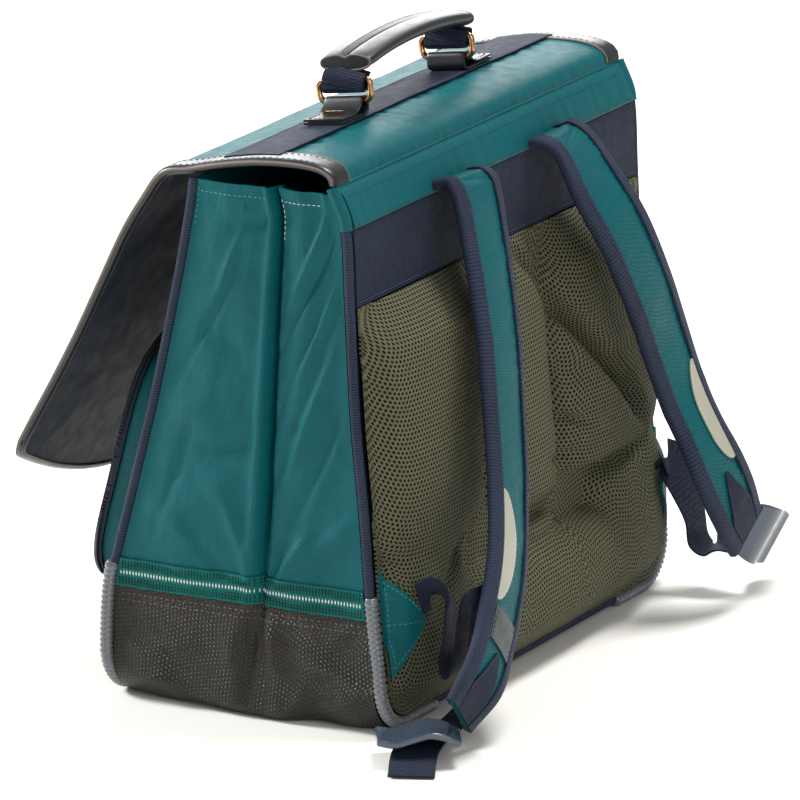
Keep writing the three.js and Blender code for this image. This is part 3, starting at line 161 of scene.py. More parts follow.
OUTLINE = table_lines(("up", "front", "back"), (
    (0.0, -0.484, 0.5),
    (0.1, -0.49, 0.496),
    (0.23, -0.474, 0.468),
    (0.4, -0.398, 0.444),
    (0.58, -0.315, 0.413),
    (0.8, -0.228, 0.392),
    (0.94, -0.18, 0.376),
    (1.0, -0.165, 0.33),
), "up")
END_WALL = table_lines(("across", "sink"), (
    (0.0, 0.0),
    (0.1, -0.1),
    (0.24, -0.22),
    (0.4, -0.14),
    (0.49, -0.06),
    (0.52, -0.24),
    (0.54, -0.22),
    (0.558, 0.25),
    (0.578, 1.0),
    (0.602, 0.28),
    (0.64, 0.1),
    (0.74, -0.08),
    (0.86, 0.1),
    (1.0, 0.0),
), "across")
FOLD_FADE = table_lines(("up", "fade"), (
    (0.0, 0.0),
    (0.09, 0.12),
    (0.21, 0.42),
    (0.4, 1.0),
    (1.0, 0.85),
), "up")


def front_line(z):
    return DEPTH * OUTLINE["front"](z / HEIGHT)


def back_line(z):
    return DEPTH * OUTLINE["back"](z / HEIGHT)


def end_wall(sign, z, v, lift=0.0):
    front = front_line(z) + SEAM_ROOM
    back = back_line(z) - SEAM_ROOM
    fold = PLEAT * FOLD_FADE["fade"](z / HEIGHT) * END_WALL["sink"](v)
    return Vector((sign * (HALF_WIDTH - fold + lift), front + (back - front) * v, z))


# %% [markdown]
# ## From a grid to a piece
# Most pieces are one sheet that is bent into place. A grid is made with an operator and each of its points is
# moved by a function of its two shares, so one helper serves walls, padding and the trims. A tube is the same
# grid, rolled up and merged along its seam. The pattern map is laid in metres along the piece, which keeps a
# weave at its real scale and lets it turn with the cloth.

# %% Grids bent into place


def measured_map(across, along, place):
    """How far each grid point lies from the middle column and the middle row, along the bent sheet."""
    spots = np.array([[place(i / across, j / along) for j in range(along + 1)] for i in range(across + 1)])
    u_steps = np.linalg.norm(np.diff(spots, axis=0), axis=2)
    v_steps = np.linalg.norm(np.diff(spots, axis=1), axis=2)
    u_run = np.vstack([np.zeros((1, along + 1)), np.cumsum(u_steps, axis=0)])
    v_run = np.hstack([np.zeros((across + 1, 1)), np.cumsum(v_steps, axis=1)])
    return u_run - u_run[across // 2], v_run - v_run[:, [along // 2]]


def bent_grid(across, along, place, map_size, rolled=False, ends=False):
    """A bmesh grid whose point at shares (u, v) goes to place(u, v), in millimetres.

    Without a map_size the pattern map is measured along the bent sheet.
    """
    bm = bmesh.new()
    bmesh.ops.create_grid(bm, x_segments=across, y_segments=along, size=0.5)
    pattern = bm.loops.layers.uv.new("UVMap")
    measured = None if map_size else measured_map(across, along, place)
    for face in bm.faces:
        for loop in face.loops:
            u, v = loop.vert.co.x + 0.5, loop.vert.co.y + 0.5
            if measured:
                i, j = round(u * across), round(v * along)
                loop[pattern].uv = (measured[0][i, j] * MM, measured[1][i, j] * MM)
            else:
                loop[pattern].uv = (u * map_size[0] * MM, v * map_size[1] * MM)
    for vert in bm.verts:
        vert.co = Vector(place(vert.co.x + 0.5, vert.co.y + 0.5)) * MM
    if rolled:
        bmesh.ops.remove_doubles(bm, verts=bm.verts[:], dist=1e-6)
    if ends:
        bmesh.ops.holes_fill(bm, edges=[edge for edge in bm.edges if edge.is_boundary], sides=0)
    return bm


def face_out(bm, outward):
    """Turns an open sheet so that its faces look along outward."""
    bm.normal_update()
    total = sum((face.normal * face.calc_area() for face in bm.faces), Vector())
    if total.dot(Vector(outward)) < 0:
        bmesh.ops.reverse_faces(bm, faces=bm.faces[:])


def finish_piece(name, bm, material, nodes=(), sharp=38):
    mesh = bpy.data.meshes.new(name)
    bm.to_mesh(mesh)
    bm.free()
    mesh.shade_smooth()
    mesh.set_sharp_from_angle(angle=math.radians(sharp))
    mesh.materials.append(material)
    piece = bpy.data.objects.new(name, mesh)
    bpy.context.scene.collection.objects.link(piece)
    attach(piece, "root")
    if nodes:
        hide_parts(*nodes)
    return piece


def cloth_wall(name, across, along, place, map_size, outward, thickness, material, nodes=(), sharp=38):
    """A sheet with its outer face at place and its inner face a thickness behind."""
    bm = bent_grid(across, along, place, map_size)
    face_out(bm, outward)
    if thickness:
        bmesh.ops.solidify(bm, geom=bm.faces[:], thickness=thickness * MM)
    return finish_piece(name, bm, material, nodes, sharp)


def tube(name, stations, section, length, material, nodes=(), around=20, closed=False, sharp=38):
    """Carries section(angle share, station) along the stations; a station is (place, side, up)."""
    count = len(stations) - (0 if closed else 1)
    outline = [Vector(section(k / around % 1.0, count // 2)) for k in range(around + 1)]
    spread = lengths_along(outline)[-1]

    def place(u, v):
        i = round(v * count) % len(stations)
        at, side, up = stations[i]
        a, b = section(u % 1.0, i)
        return at + side * a + up * b

    bm = bent_grid(around, count, place, (spread, length), rolled=True, ends=not closed)
    bmesh.ops.recalc_face_normals(bm, faces=bm.faces[:])
    return finish_piece(name, bm, material, nodes, sharp)


def round_section(radius):
    def section(u, _):
        return radius * math.cos(2 * math.pi * u), radius * math.sin(2 * math.pi * u)

    return section


def superellipse(half_a, half_b, power=0.35):
    """A flat section with rounded edges."""
    def section(u, _):
        c, s = math.cos(2 * math.pi * u), math.sin(2 * math.pi * u)
        return (half_a * math.copysign(abs(c) ** power, c), half_b * math.copysign(abs(s) ** power, s))

    return section


def frames_along(points, side_of):
    stations = []
    for i, at in enumerate(points):
        along = (points[min(i + 1, len(points) - 1)] - points[max(i - 1, 0)]).normalized()
        side = Vector(side_of(i))
        side = (side - along * side.dot(along)).normalized()
        stations.append((at, side, side.cross(along).normalized()))
    return stations


def centripetal(points, steps):
    """Points along a centripetal curve through the given ones, which never loops or overshoots."""
    points = [Vector(p) for p in points]
    ends = [points[0] * 2 - points[1]] + points + [points[-1] * 2 - points[-2]]
    route = []
    for i in range(len(points) - 1):
        p0, p1, p2, p3 = ends[i:i + 4]
        d0, d1, d2 = ((b - a).length ** 0.5 for a, b in ((p0, p1), (p1, p2), (p2, p3)))
        t1 = ((p1 - p0) / d0 - (p2 - p0) / (d0 + d1) + (p2 - p1) / d1) * d1
        t2 = ((p2 - p1) / d1 - (p3 - p1) / (d1 + d2) + (p3 - p2) / d2) * d1
        for k in range(steps):
            t = k / steps
            h = t * t * (3 - 2 * t)
            route.append(p1 * (1 - h) + p2 * h + t1 * (t * (1 - t) ** 2) + t2 * (t * t * (t - 1)))
    return route + [points[-1]]


def lengths_along(points):
    total = [0.0]
    for a, b in zip(points, points[1:]):
        total.append(total[-1] + (b - a).length)
    return total


def resample(points, step):
    """The same line with points at equal steps."""
    total = lengths_along(points)
    count = max(2, round(total[-1] / step))
    out = []
    for k in range(count + 1):
        at = total[-1] * k / count
        i = min(bisect_right(total, at) - 1, len(points) - 2)
        t = (at - total[i]) / max(total[i + 1] - total[i], 1e-9)
        out.append(points[i].lerp(points[i + 1], t))
    return out


# %% [markdown]
# ## Finishes
# The cloths differ in their weave, so the weaves are shader groups. Each takes the pattern map in metres and
# gives a height for the bump and a mask for the colour. A slow noise group adds the uneven fading and dust of
# a bag that has been handled. The groups are built once and every material sets its own numbers on them.

# %% Shader helpers


def srgb(red, green, blue):
    """Linear colour from the 0 to 255 values that a colour picker shows."""
    def linear(value):
        value /= 255
        return value / 12.92 if value <= 0.04045 else ((value + 0.055) / 1.055) ** 2.4

    return (linear(red), linear(green), linear(blue), 1.0)


class Tree:
    """A node tree with short calls for the few nodes that these finishes use."""

    def __init__(self, tree):
        self.tree = tree

    def node(self, kind, **settings):
        made = self.tree.nodes.new(kind)
        for key, value in settings.items():
            setattr(made, key, value)
        return made

    def feed(self, socket, value):
        if isinstance(value, bpy.types.NodeSocket):
            self.tree.links.new(value, socket)
        elif value is not None:
            socket.default_value = value

    def math(self, operation, a, b=None, c=None, clamp=False):
        made = self.node("ShaderNodeMath", operation=operation, use_clamp=clamp)
        for socket, value in zip(made.inputs, (a, b, c)):
            self.feed(socket, value)
        return made.outputs[0]

    def vector(self, operation, a, b=None, c=None, scale=None):
        made = self.node("ShaderNodeVectorMath", operation=operation)
        for socket, value in zip(made.inputs, (a, b, c)):
            self.feed(socket, value)
        if scale is not None:
            self.feed(made.inputs["Scale"], scale)
        return made.outputs["Value"] if operation in ("LENGTH", "DOT_PRODUCT") else made.outputs["Vector"]

    def split(self, value):
        made = self.node("ShaderNodeSeparateXYZ")
        self.feed(made.inputs[0], value)
        return made.outputs[0], made.outputs[1], made.outputs[2]

    def noise(self, vector, scale, detail=3.0, roughness=0.55):
        made = self.node("ShaderNodeTexNoise")
        self.feed(made.inputs["Vector"], vector)
        self.feed(made.inputs["Scale"], scale)
        made.inputs["Detail"].default_value = detail
        made.inputs["Roughness"].default_value = roughness
        return made.outputs["Fac"]

    def ramp(self, value, low, high, to_low=0.0, to_high=1.0):
        made = self.node("ShaderNodeMapRange", interpolation_type="SMOOTHSTEP")
        for socket, number in zip(made.inputs, (value, low, high, to_low, to_high)):
            self.feed(socket, number)
        return made.outputs[0]

    def mix(self, share, a, b, blend="MIX"):
        made = self.node("ShaderNodeMix", data_type="RGBA", blend_type=blend)
        self.feed(made.inputs["Factor"], share)
        self.feed(made.inputs["A"], a)
        self.feed(made.inputs["B"], b)
        return made.outputs["Result"]


def shader_group(name, inputs, outputs, build):
    """A named group; inputs maps a socket's name to its default, and build returns the outputs in order."""
    group = bpy.data.node_groups.new(name, "ShaderNodeTree")
    for label, default in inputs.items():
        kind = "NodeSocketVector" if default is None else "NodeSocketFloat"
        socket = group.interface.new_socket(label, in_out="INPUT", socket_type=kind)
        if default is not None:
            socket.default_value = default
    for label in outputs:
        group.interface.new_socket(label, in_out="OUTPUT", socket_type="NodeSocketFloat")
    tree = Tree(group)
    entry = tree.node("NodeGroupInput")
    leave = tree.node("NodeGroupOutput")
    for socket, value in zip(leave.inputs, build(tree, entry.outputs)):
        tree.feed(socket, value)
    return group


# %% [markdown]
# ### Weaves
# Plain weave is threads that pass over and under each other by turns: two rows of half waves, of which a
# checkerboard picks one. Webbing is coarser and runs in ribs across its width. The air mesh is a net of
# hexagonal holes, measured as the distance to the nearest point of two shifted square lattices. The boot has
# the same lattice of raised dots.
# On the boot the dot mask makes each raised dot lighter than the coating between: a painted highlight.

# %% Weave groups


def build_plain_weave(tree, given):
    u, v, _ = tree.split(given["Map"])
    a = tree.math("SINE", tree.math("MULTIPLY", u, given["Threads"]))
    b = tree.math("SINE", tree.math("MULTIPLY", v, given["Threads"]))
    over = tree.math("GREATER_THAN", tree.math("MULTIPLY", a, b), 0.0)
    warp = tree.math("ABSOLUTE", a)
    weft = tree.math("ABSOLUTE", b)
    top = tree.math("MULTIPLY_ADD", over, tree.math("SUBTRACT", warp, weft), weft)
    slub = tree.noise(tree.vector("MULTIPLY", given["Map"], (60.0, 900.0, 1.0)), 1.0, 2.0)
    between = tree.math("MULTIPLY_ADD", warp, -0.3, tree.math("SUBTRACT", 1.0, weft))
    return tree.math("MULTIPLY_ADD", tree.math("SUBTRACT", slub, 0.5), 0.6, top), between


def build_webbing(tree, given):
    u, v, _ = tree.split(given["Map"])
    rib = tree.math("SINE", tree.math("MULTIPLY", v, given["Ribs"]))
    shift = tree.math("MULTIPLY", tree.math("GREATER_THAN", rib, 0.0), math.pi / 2)
    thread = tree.math("SINE", tree.math("MULTIPLY_ADD", u, given["Threads"], shift))
    height = tree.math("MULTIPLY", tree.math("ABSOLUTE", rib), 0.65)
    between = tree.math("SUBTRACT", 1.0, tree.math("ABSOLUTE", rib))
    return (tree.math("MULTIPLY_ADD", tree.math("ABSOLUTE", thread), 0.45, height),
            tree.math("MULTIPLY_ADD", tree.math("ABSOLUTE", thread), -0.35, between))


def nearest_dot(tree, given):
    """Distance to the nearest point of a triangular lattice, in lattice steps."""
    step = tree.vector("SCALE", given["Map"], scale=given["Per metre"])
    flat = tree.vector("MULTIPLY", step, (1.0, 1.0, 0.0))
    half = (0.5, 0.5 * math.sqrt(3), 1.0)
    minus = tuple(-x for x in half)
    first = tree.vector("WRAP", flat, half, minus)
    second = tree.vector("WRAP", tree.vector("SUBTRACT", flat, (half[0], half[1], 0.0)), half, minus)
    return tree.math("MINIMUM", tree.vector("LENGTH", first), tree.vector("LENGTH", second))


def build_air_mesh(tree, given):
    distance = nearest_dot(tree, given)
    hole = tree.ramp(distance, 0.2, 0.36, 1.0, 0.0)
    yarn = tree.noise(given["Map"], 2600.0, 2.0)
    net = tree.math("SUBTRACT", 1.0, hole)
    return tree.math("MULTIPLY_ADD", yarn, 0.35, net), hole


def build_dots(tree, given):
    distance = nearest_dot(tree, given)
    dot = tree.ramp(distance, 0.18, 0.42, 1.0, 0.0)
    grain = tree.noise(given["Map"], 1800.0, 2.0)
    return tree.math("MULTIPLY_ADD", grain, 0.25, dot), dot


def build_handling(tree, given):
    where = tree.node("ShaderNodeTexCoord").outputs["Object"]
    slow = tree.noise(where, given["Scale"], 4.0)
    fine = tree.noise(where, tree.math("MULTIPLY", given["Scale"], 14.0), 2.0)
    return (tree.ramp(slow, 0.3, 0.7), tree.ramp(fine, 0.35, 0.65))


def build_grain(tree, given):
    where = tree.node("ShaderNodeTexCoord").outputs["Object"]
    cell = tree.node("ShaderNodeTexVoronoi", feature="DISTANCE_TO_EDGE")
    tree.feed(cell.inputs["Vector"], where)
    tree.feed(cell.inputs["Scale"], given["Scale"])
    crease = tree.ramp(cell.outputs["Distance"], 0.0, 0.16)
    soft = tree.noise(where, tree.math("MULTIPLY", given["Scale"], 0.2), 3.0)
    return tree.math("MULTIPLY_ADD", soft, 0.6, crease), crease


PLAIN_WEAVE = shader_group("plain_weave", {"Map": None, "Threads": 4400.0}, ("Height", "Between"),
                           build_plain_weave)
WEBBING_WEAVE = shader_group("webbing_weave", {"Map": None, "Ribs": 2600.0, "Threads": 3600.0},
                             ("Height", "Thread"), build_webbing)
AIR_MESH = shader_group("air_mesh", {"Map": None, "Per metre": 260.0}, ("Height", "Hole"), build_air_mesh)
RAISED_DOTS = shader_group("raised_dots", {"Map": None, "Per metre": 420.0}, ("Height", "Dot"), build_dots)
HANDLING = shader_group("handling", {"Scale": 9.0}, ("Slow", "Fine"), build_handling)
GRAIN = shader_group("grain", {"Scale": 900.0}, ("Height", "Crease"), build_grain)

# %% Materials


def make_material(name, colour, shade, roughness, weave=None, weave_inputs=None, bump=0.3, depth=0.3,
                  mask_share=0.35, turn=0.0, sheen=0.0, coat=0.0, coat_roughness=0.3, metallic=0.0,
                  specular=0.5, alpha=1.0, transmission=0.0, handling=9.0, fade=0.35):
    """One finish: a colour that fades to shade where the weave or the handling masks say so.

    On the boot the second colour is lighter than the first: a painted highlight on each raised dot.
    """
    material = bpy.data.materials.new(name)
    material.use_nodes = True
    tree = Tree(material.node_tree)
    surface = material.node_tree.nodes["Principled BSDF"]
    where = tree.node("ShaderNodeUVMap", uv_map="UVMap").outputs[0]
    if turn:
        where = tree.node("ShaderNodeMapping")
        where.inputs["Rotation"].default_value = (0, 0, math.radians(turn))
        tree.feed(where.inputs["Vector"], tree.node("ShaderNodeUVMap", uv_map="UVMap").outputs[0])
        where = where.outputs[0]
    worn = tree.node("ShaderNodeGroup", node_tree=HANDLING)
    worn.inputs["Scale"].default_value = handling
    share = tree.math("MULTIPLY", worn.outputs["Slow"], fade)
    if weave:
        cloth = tree.node("ShaderNodeGroup", node_tree=weave)
        if "Map" in cloth.inputs:
            tree.feed(cloth.inputs["Map"], where)
        for key, value in (weave_inputs or {}).items():
            cloth.inputs[key].default_value = value
        share = tree.math("MULTIPLY_ADD", cloth.outputs[1], mask_share, share, clamp=True)
        lift = tree.node("ShaderNodeBump")
        lift.inputs["Strength"].default_value = bump
        lift.inputs["Distance"].default_value = depth * MM
        tree.feed(lift.inputs["Height"], cloth.outputs[0])
        tree.feed(surface.inputs["Normal"], lift.outputs[0])
    tree.feed(surface.inputs["Base Color"], tree.mix(share, srgb(*colour), srgb(*shade)))
    rough = tree.math("MULTIPLY_ADD", worn.outputs["Fine"], 0.08, roughness - 0.04)
    tree.feed(surface.inputs["Roughness"], rough)
    surface.inputs["Metallic"].default_value = metallic
    surface.inputs["Specular IOR Level"].default_value = specular
    surface.inputs["Sheen Weight"].default_value = sheen
    surface.inputs["Sheen Roughness"].default_value = 0.4
    surface.inputs["Coat Weight"].default_value = coat
    surface.inputs["Coat Roughness"].default_value = coat_roughness
    surface.inputs["Transmission Weight"].default_value = transmission
    surface.inputs["Alpha"].default_value = alpha
    return material


TEAL = make_material("teal_polyester", (7, 89, 95), (0, 36, 44), 0.46, PLAIN_WEAVE, {"Threads": 2400.0},
                     bump=0.5, depth=0.35, mask_share=0.5, specular=0.15, fade=0.12)
RIBBON_CLOTH = make_material("bright_ribbon", (4, 102, 96), (0, 44, 44), 0.55, WEBBING_WEAVE,
                             {"Ribs": 1500.0, "Threads": 1400.0}, bump=0.6, depth=0.4, mask_share=0.6,
                             specular=0.15)
NAVY = make_material("navy_webbing", (38, 46, 64), (7, 10, 18), 0.6, WEBBING_WEAVE,
                     {"Ribs": 1700.0, "Threads": 1900.0}, bump=0.8, depth=0.5, mask_share=0.75,
                     specular=0.14)
NAVY_BINDING = make_material("navy_binding", (44, 53, 74), (8, 11, 20), 0.56, WEBBING_WEAVE,
                             {"Ribs": 1750.0, "Threads": 1500.0}, bump=0.8, depth=0.5, mask_share=0.8,
                             specular=0.16)
LINING = make_material("navy_lining", (17, 26, 42), (11, 17, 29), 0.55, GRAIN, {"Scale": 900.0},
                       bump=0.03, depth=0.1, mask_share=0.05, specular=0.1, fade=0.5, handling=5.0)
# Painted highlight: the boot's lighter second colour is laid on each raised dot of the dark coating.
BOOT = make_material("boot_coating", (26, 24, 21), (64, 60, 54), 0.36, RAISED_DOTS, {"Per metre": 330.0},
                     bump=1.0, depth=1.0, mask_share=0.6, turn=20, specular=0.34, fade=0.06)
MESH = make_material("air_mesh", (98, 97, 75), (8, 8, 6), 0.8, AIR_MESH, {"Per metre": 290.0},
                     bump=1.0, depth=1.2, mask_share=1.0, fade=0.08, specular=0.2)
LEATHER = make_material("trim_leather", (23, 26, 31), (13, 15, 19), 0.38, GRAIN, {"Scale": 1100.0},
                        bump=0.16, depth=0.2, mask_share=0.15, specular=0.45, coat=0.3, coat_roughness=0.3)
RAW_EDGE = make_material("raw_edge", (120, 104, 92), (88, 76, 68), 0.8, GRAIN, {"Scale": 2400.0}, bump=0.4)
GOLD = make_material("ring_gold", (196, 150, 104), (170, 124, 84), 0.2, metallic=1.0)
GUARD_PLASTIC = make_material("guard_plastic", (100, 103, 108), (66, 69, 74), 0.24, coat=0.5,
                              coat_roughness=0.12)
SMOKE = make_material("smoke_plastic", (70, 84, 104), (48, 58, 74), 0.16, coat=0.5, coat_roughness=0.08,
                      transmission=0.4)
REFLECTOR = make_material("reflector", (168, 166, 150), (146, 144, 130), 0.38, RAISED_DOTS,
                          {"Per metre": 900.0}, bump=0.15, depth=0.15, mask_share=0.2)
LABEL = make_material("label_rubber", (48, 60, 66), (34, 44, 48), 0.42, GRAIN, {"Scale": 1500.0}, bump=0.12)
THREAD_NAVY = make_material("thread_navy", (58, 68, 96), (40, 48, 72), 0.65)
THREAD_TEAL = make_material("thread_teal", (52, 138, 134), (34, 112, 110), 0.6)
THREAD_PALE = make_material("thread_pale", (196, 206, 202), (168, 180, 178), 0.55)
THREAD_DEEP = make_material("thread_deep_teal", (12, 56, 60), (8, 40, 44), 0.6)
THREAD_BROWN = make_material("thread_brown", (88, 82, 74), (70, 65, 58), 0.6)
THREAD_DARK = make_material("thread_dark", (26, 26, 30), (18, 18, 22), 0.5)
print("materials:", len(bpy.data.materials))

# %% [markdown]
# ## Body
# The end walls are one sheet each, from the front seam to the back seam. A deep pleat runs down them a little
# behind the middle, with a rib in front of it where the folded cloth stands up. Cloth that is held at its
# seams never hangs flat, so a short table of soft folds is added on top: each is a long low swelling, placed
# and turned.

# %% Soft folds


def soft_folds(rows):
    """Height at (across, up) in millimetres; a row is across, up, turn in degrees, long, wide, rise."""
    folds = [(a, b, math.cos(math.radians(turn)), math.sin(math.radians(turn)), long, wide, rise)
             for a, b, turn, long, wide, rise in rows]

    def height(across, up):
        total = 0.0
        for a, b, c, s, long, wide, rise in folds:
            along = (across - a) * c + (up - b) * s
            aside = (up - b) * c - (across - a) * s
            total += rise * math.exp(-(along / long) ** 2 - (aside / wide) ** 2)
        return total

    return height


def crumple(place, size, rise):
    """Small even unevenness of handled cloth."""
    return rise * noise.fractal(Vector(place) / size, 0.8, 2.1, 3)


END_WALL_SWELLS = soft_folds((
    (150, 318, 54, 40, 3.4, 2.5),
    (142, 286, 52, 46, 3.0, -2.1),
    (152, 262, 56, 50, 3.6, 2.8),
    (134, 238, 58, 42, 4.0, -2.2),
    (148, 214, 62, 44, 4.4, 2.5),
    (128, 192, 64, 34, 5.0, -2.0),
    (160, 176, 56, 34, 5.0, 2.2),
    (138, 150, 60, 40, 6.0, -2.0),
    (160, 128, 36, 30, 6.0, 2.2),
    (128, 112, 50, 22, 4.0, 2.2),
    (116, 104, 66, 18, 3.5, -2.2),
    (40, 122, -28, 34, 8, 2.2),
    (64, 108, -42, 26, 5, -1.9),
    (88, 116, -64, 26, 4, 2.2),
    (74, 140, -48, 30, 7, 1.8),
    (48, 292, 70, 34, 5, 1.9),
    (38, 262, 62, 30, 5, -2.0),
    (60, 246, -24, 26, 11, -2.8),
    (44, 198, -18, 30, 12, 2.5),
    (72, 180, 24, 26, 10, -2.5),
    (30, 160, 80, 40, 5, -1.5),
    (86, 330, 10, 30, 6, -1.5),
    (60, 338, 4, 26, 3.5, 1.2),
))
HEM = 9
HEM_RISE = 0.5
RIBBON_RISE = 1.4
SEAM_HOLD = 14
END_WALL_WIDTH = 182
SWELL_SHARE = 1.3

# %% Gussets


def end_wall_swell(sign, u, z):
    """The soft folds of an end wall, which die away towards the seams at both sides."""
    across = u * END_WALL_WIDTH
    held = min(1.0, SEAM_HOLD * u, SEAM_HOLD * (1 - u))
    return held * (SWELL_SHARE * END_WALL_SWELLS(across, z) + crumple((across, z, sign * 40), 26, 1.1))


def gusset(sign):
    def place(u, v):
        z = BOOT_TOP + GAP + (MOUTH - BOOT_TOP - GAP) * v
        hem = HEM_RISE if z > MOUTH - HEM else 0.0
        return end_wall(sign, z, u, end_wall_swell(sign, u, z) + hem)

    return place


def ribbon(sign):
    def place(u, v):
        z = BOOT_TOP + GAP + RIBBON * v
        return end_wall(sign, z, u, end_wall_swell(sign, u, z) + RIBBON_RISE)

    return place


for side, sign in SIDES:
    cloth_wall(f"gusset_cloth_{side}", 160, 94, gusset(sign), (END_WALL_WIDTH, MOUTH - BOOT_TOP),
               (sign, 0, 0), CLOTH, TEAL, (f"gusset_{side}",))
for side, sign in SIDES:
    cloth_wall(f"ribbon_band_{side}", 190, 10, ribbon(sign), (END_WALL_WIDTH, RIBBON), (sign, 0, 0), 1.0,
               RIBBON_CLOTH, (f"ribbon_{side}",))

# %% [markdown]
# The boot is one coated sheet that runs down one end wall, round the corner, along the bottom and up the
# other end. It is laid out by its own length, so the raised dots keep their pitch round the corners.

# %% Boot
BOOT_LEG = BOOT_TOP - CORNER
BOOT_BEND = CORNER * math.pi / 2
BOOT_FLOOR = 2 * (HALF_WIDTH - CORNER)
BOOT_LENGTH = 2 * BOOT_LEG + 2 * BOOT_BEND + BOOT_FLOOR


def boot_run(share):
    """Place on the boot's run: x, z and how upright it stands there."""
    s = share * BOOT_LENGTH
    sign = 1
    if s > BOOT_LENGTH / 2:
        s, sign = BOOT_LENGTH - s, -1
    if s < BOOT_LEG:
        return sign * HALF_WIDTH, BOOT_TOP - s, 1.0
    s -= BOOT_LEG
    if s < BOOT_BEND:
        angle = s / CORNER
        return (sign * (HALF_WIDTH - CORNER + CORNER * math.cos(angle)), CORNER - CORNER * math.sin(angle),
                math.cos(angle))
    return sign * (HALF_WIDTH - CORNER - (s - BOOT_BEND)), 0.0, 0.0


BOOT_SWELLS = soft_folds((
    (97, 52, 84, 24, 4.5, -5.7),
    (112, 46, 88, 28, 6, 4.9),
    (84, 46, 80, 26, 7, 3.0),
    (104, 20, 60, 20, 6, -3.2),
    (36, 44, 14, 36, 8, 2.7),
    (52, 26, -30, 30, 6, -2.7),
    (24, 22, 24, 24, 6, 2.2),
    (150, 40, -24, 30, 8, 3.0),
    (136, 22, 40, 22, 6, -3.2),
    (166, 60, 40, 18, 5, -2.0),
    (72, 14, 8, 30, 6, 2.2),
))
BOOT_FILL = table_lines(("across", "fill"), (
    (0.0, 0.0),
    (0.17, 0.4),
    (0.3, 0.5),
    (0.5, 0.92),
    (0.64, 0.95),
    (0.76, 0.3),
    (0.9, 0.45),
    (1.0, 0.0),
), "across")


def boot_place(u, v):
    x, z, wall = boot_run(v)
    sign = math.copysign(1, x)
    front = front_line(z) + SEAM_ROOM
    back = back_line(z) - SEAM_ROOM
    sink = PLEAT * FOLD_FADE["fade"](z / HEIGHT) * wall * END_WALL["sink"](u)
    across = u * END_WALL_WIDTH
    hold = min(1.0, SEAM_HOLD * u, SEAM_HOLD * (1 - u), max(0.0, (BOOT_TOP - z) / 8 + 0.2))
    swell = wall * hold * (BOOT_SWELLS(across, z) + crumple((across, z, x * 0.1), 20, 1.2))
    x -= sign * (sink - swell)
    if z < CORNER and wall > 0:
        fill = max(0.0, BOOT_FILL["fill"](u)) * min(1.0, 3 * wall)
        x += sign * fill * 0.7 * max(0.0, HALF_WIDTH - abs(x))
        z *= 1 - 0.7 * fill
    return Vector((x, front + (back - front) * u, z))


cloth_wall("boot_shell", 114, 168, boot_place, None, (0, 0, -1), BOOT_WALL, BOOT, ("base_boot",))

# %% [markdown]
# Front and back are flat panels with rounded lower corners. Only their edges and the inside show, so they
# stay simple: a sheet bent to the outline, with its wall thickness behind.

# %% Panels


def rounded_foot(x):
    over = abs(x) - (PANEL_HALF - PANEL_CORNER)
    if over <= 0:
        return PANEL_FOOT
    return PANEL_FOOT + PANEL_CORNER - math.sqrt(max(PANEL_CORNER ** 2 - over ** 2, 0))


def panel_place(line, offset, top, relief=None):
    def place(u, v):
        x = (2 * u - 1) * PANEL_HALF
        low = rounded_foot(x)
        z = low + (top - low) * v
        y = line(z) + offset
        return Vector((x, y + (relief(x, z) if relief else 0), z))

    return place


cloth_wall("front_wall", 90, 70, panel_place(front_line, -1.25, MOUTH), (400, 344), (0, -1, 0), 2.5, TEAL,
           ("front_panel",))
cloth_wall("back_wall", 60, 60, panel_place(back_line, 1.25, HEIGHT), (400, 348), (0, 1, 0), 2.5, LINING,
           ("back_panel",))

# %% [markdown]
# ## Padded back
# The back is foam under a knitted mesh, pressed into pads with channels between them where air can pass. Each
# pad is a flattened dome given by its middle, its reach and its rise. The largest one wins at each point, but
# softly, so the mesh bridges the channels instead of creasing in them.

# %% Back mesh
MESH_EDGE = 2
PAD_RISE = 24
PADS = (
    (0.62, 0.68, 0.4, 0.38, 1.0),
    (0.72, 0.27, 0.27, 0.16, 0.72),
    (-0.62, 0.68, 0.4, 0.38, 1.0),
    (-0.72, 0.27, 0.27, 0.16, 0.72),
    (0.0, 0.6, 0.24, 0.42, 0.7),
    (0.0, 0.13, 1.02, 0.14, 0.96),
)


def pad_relief(x, z):
    across = x / PANEL_HALF
    up = (z - PANEL_FOOT) / (MESH_TOP - PANEL_FOOT)
    total = 0.0
    for at, level, wide, tall, rise in PADS:
        reach = abs((across - at) / wide) ** 3 + abs((up - level) / tall) ** 3
        total += (rise * max(0.0, 1 - reach) ** 0.6) ** 6
    edge = min(1.0, (1 - abs(across)) * 16, up * 12, (1 - up) * 10)
    return MESH_EDGE + PAD_RISE * total ** (1 / 6) * math.sqrt(max(edge, 0))


MESH_CHANNELS = soft_folds((
    (-84, 198, 45, 98, 6, -20),
    (64, 190, 100, 92, 7, -12),
    (100, 108, 150, 40, 6, -9),
    (-84, 104, 176, 92, 6, -14),
    (0, 100, 2, 70, 6, -12),
    (-44, 172, 78, 28, 4, -9),
    (-58, 150, 20, 16, 3, -6),
    (-46, 126, 4, 18, 3, -6),
))


def quilted_relief(x, z):
    inside = min(1.0, max(0.0, (PANEL_HALF - 34 - abs(x)) / 26), max(0.0, (MESH_TOP - z) / 10))
    relief = pad_relief(x, z)
    channel = MESH_CHANNELS(x, z) * inside
    return max(relief + channel, 3.0) + crumple((x, z, 9), 34, 0.8) * inside


mesh_pad = cloth_wall("air_mesh_pad", 230, 162, panel_place(back_line, BACK_FACE, MESH_TOP, quilted_relief),
                      None, (0, 1, 0), 1.6, MESH, ("back_mesh",), sharp=60)

# %% Shoulder band and top strip


def back_skin(low, high, lift):
    def place(u, v):
        z = low + (high - low) * v
        return Vector(((2 * u - 1) * PANEL_HALF, back_line(z) + BACK_FACE + lift, z))

    return place


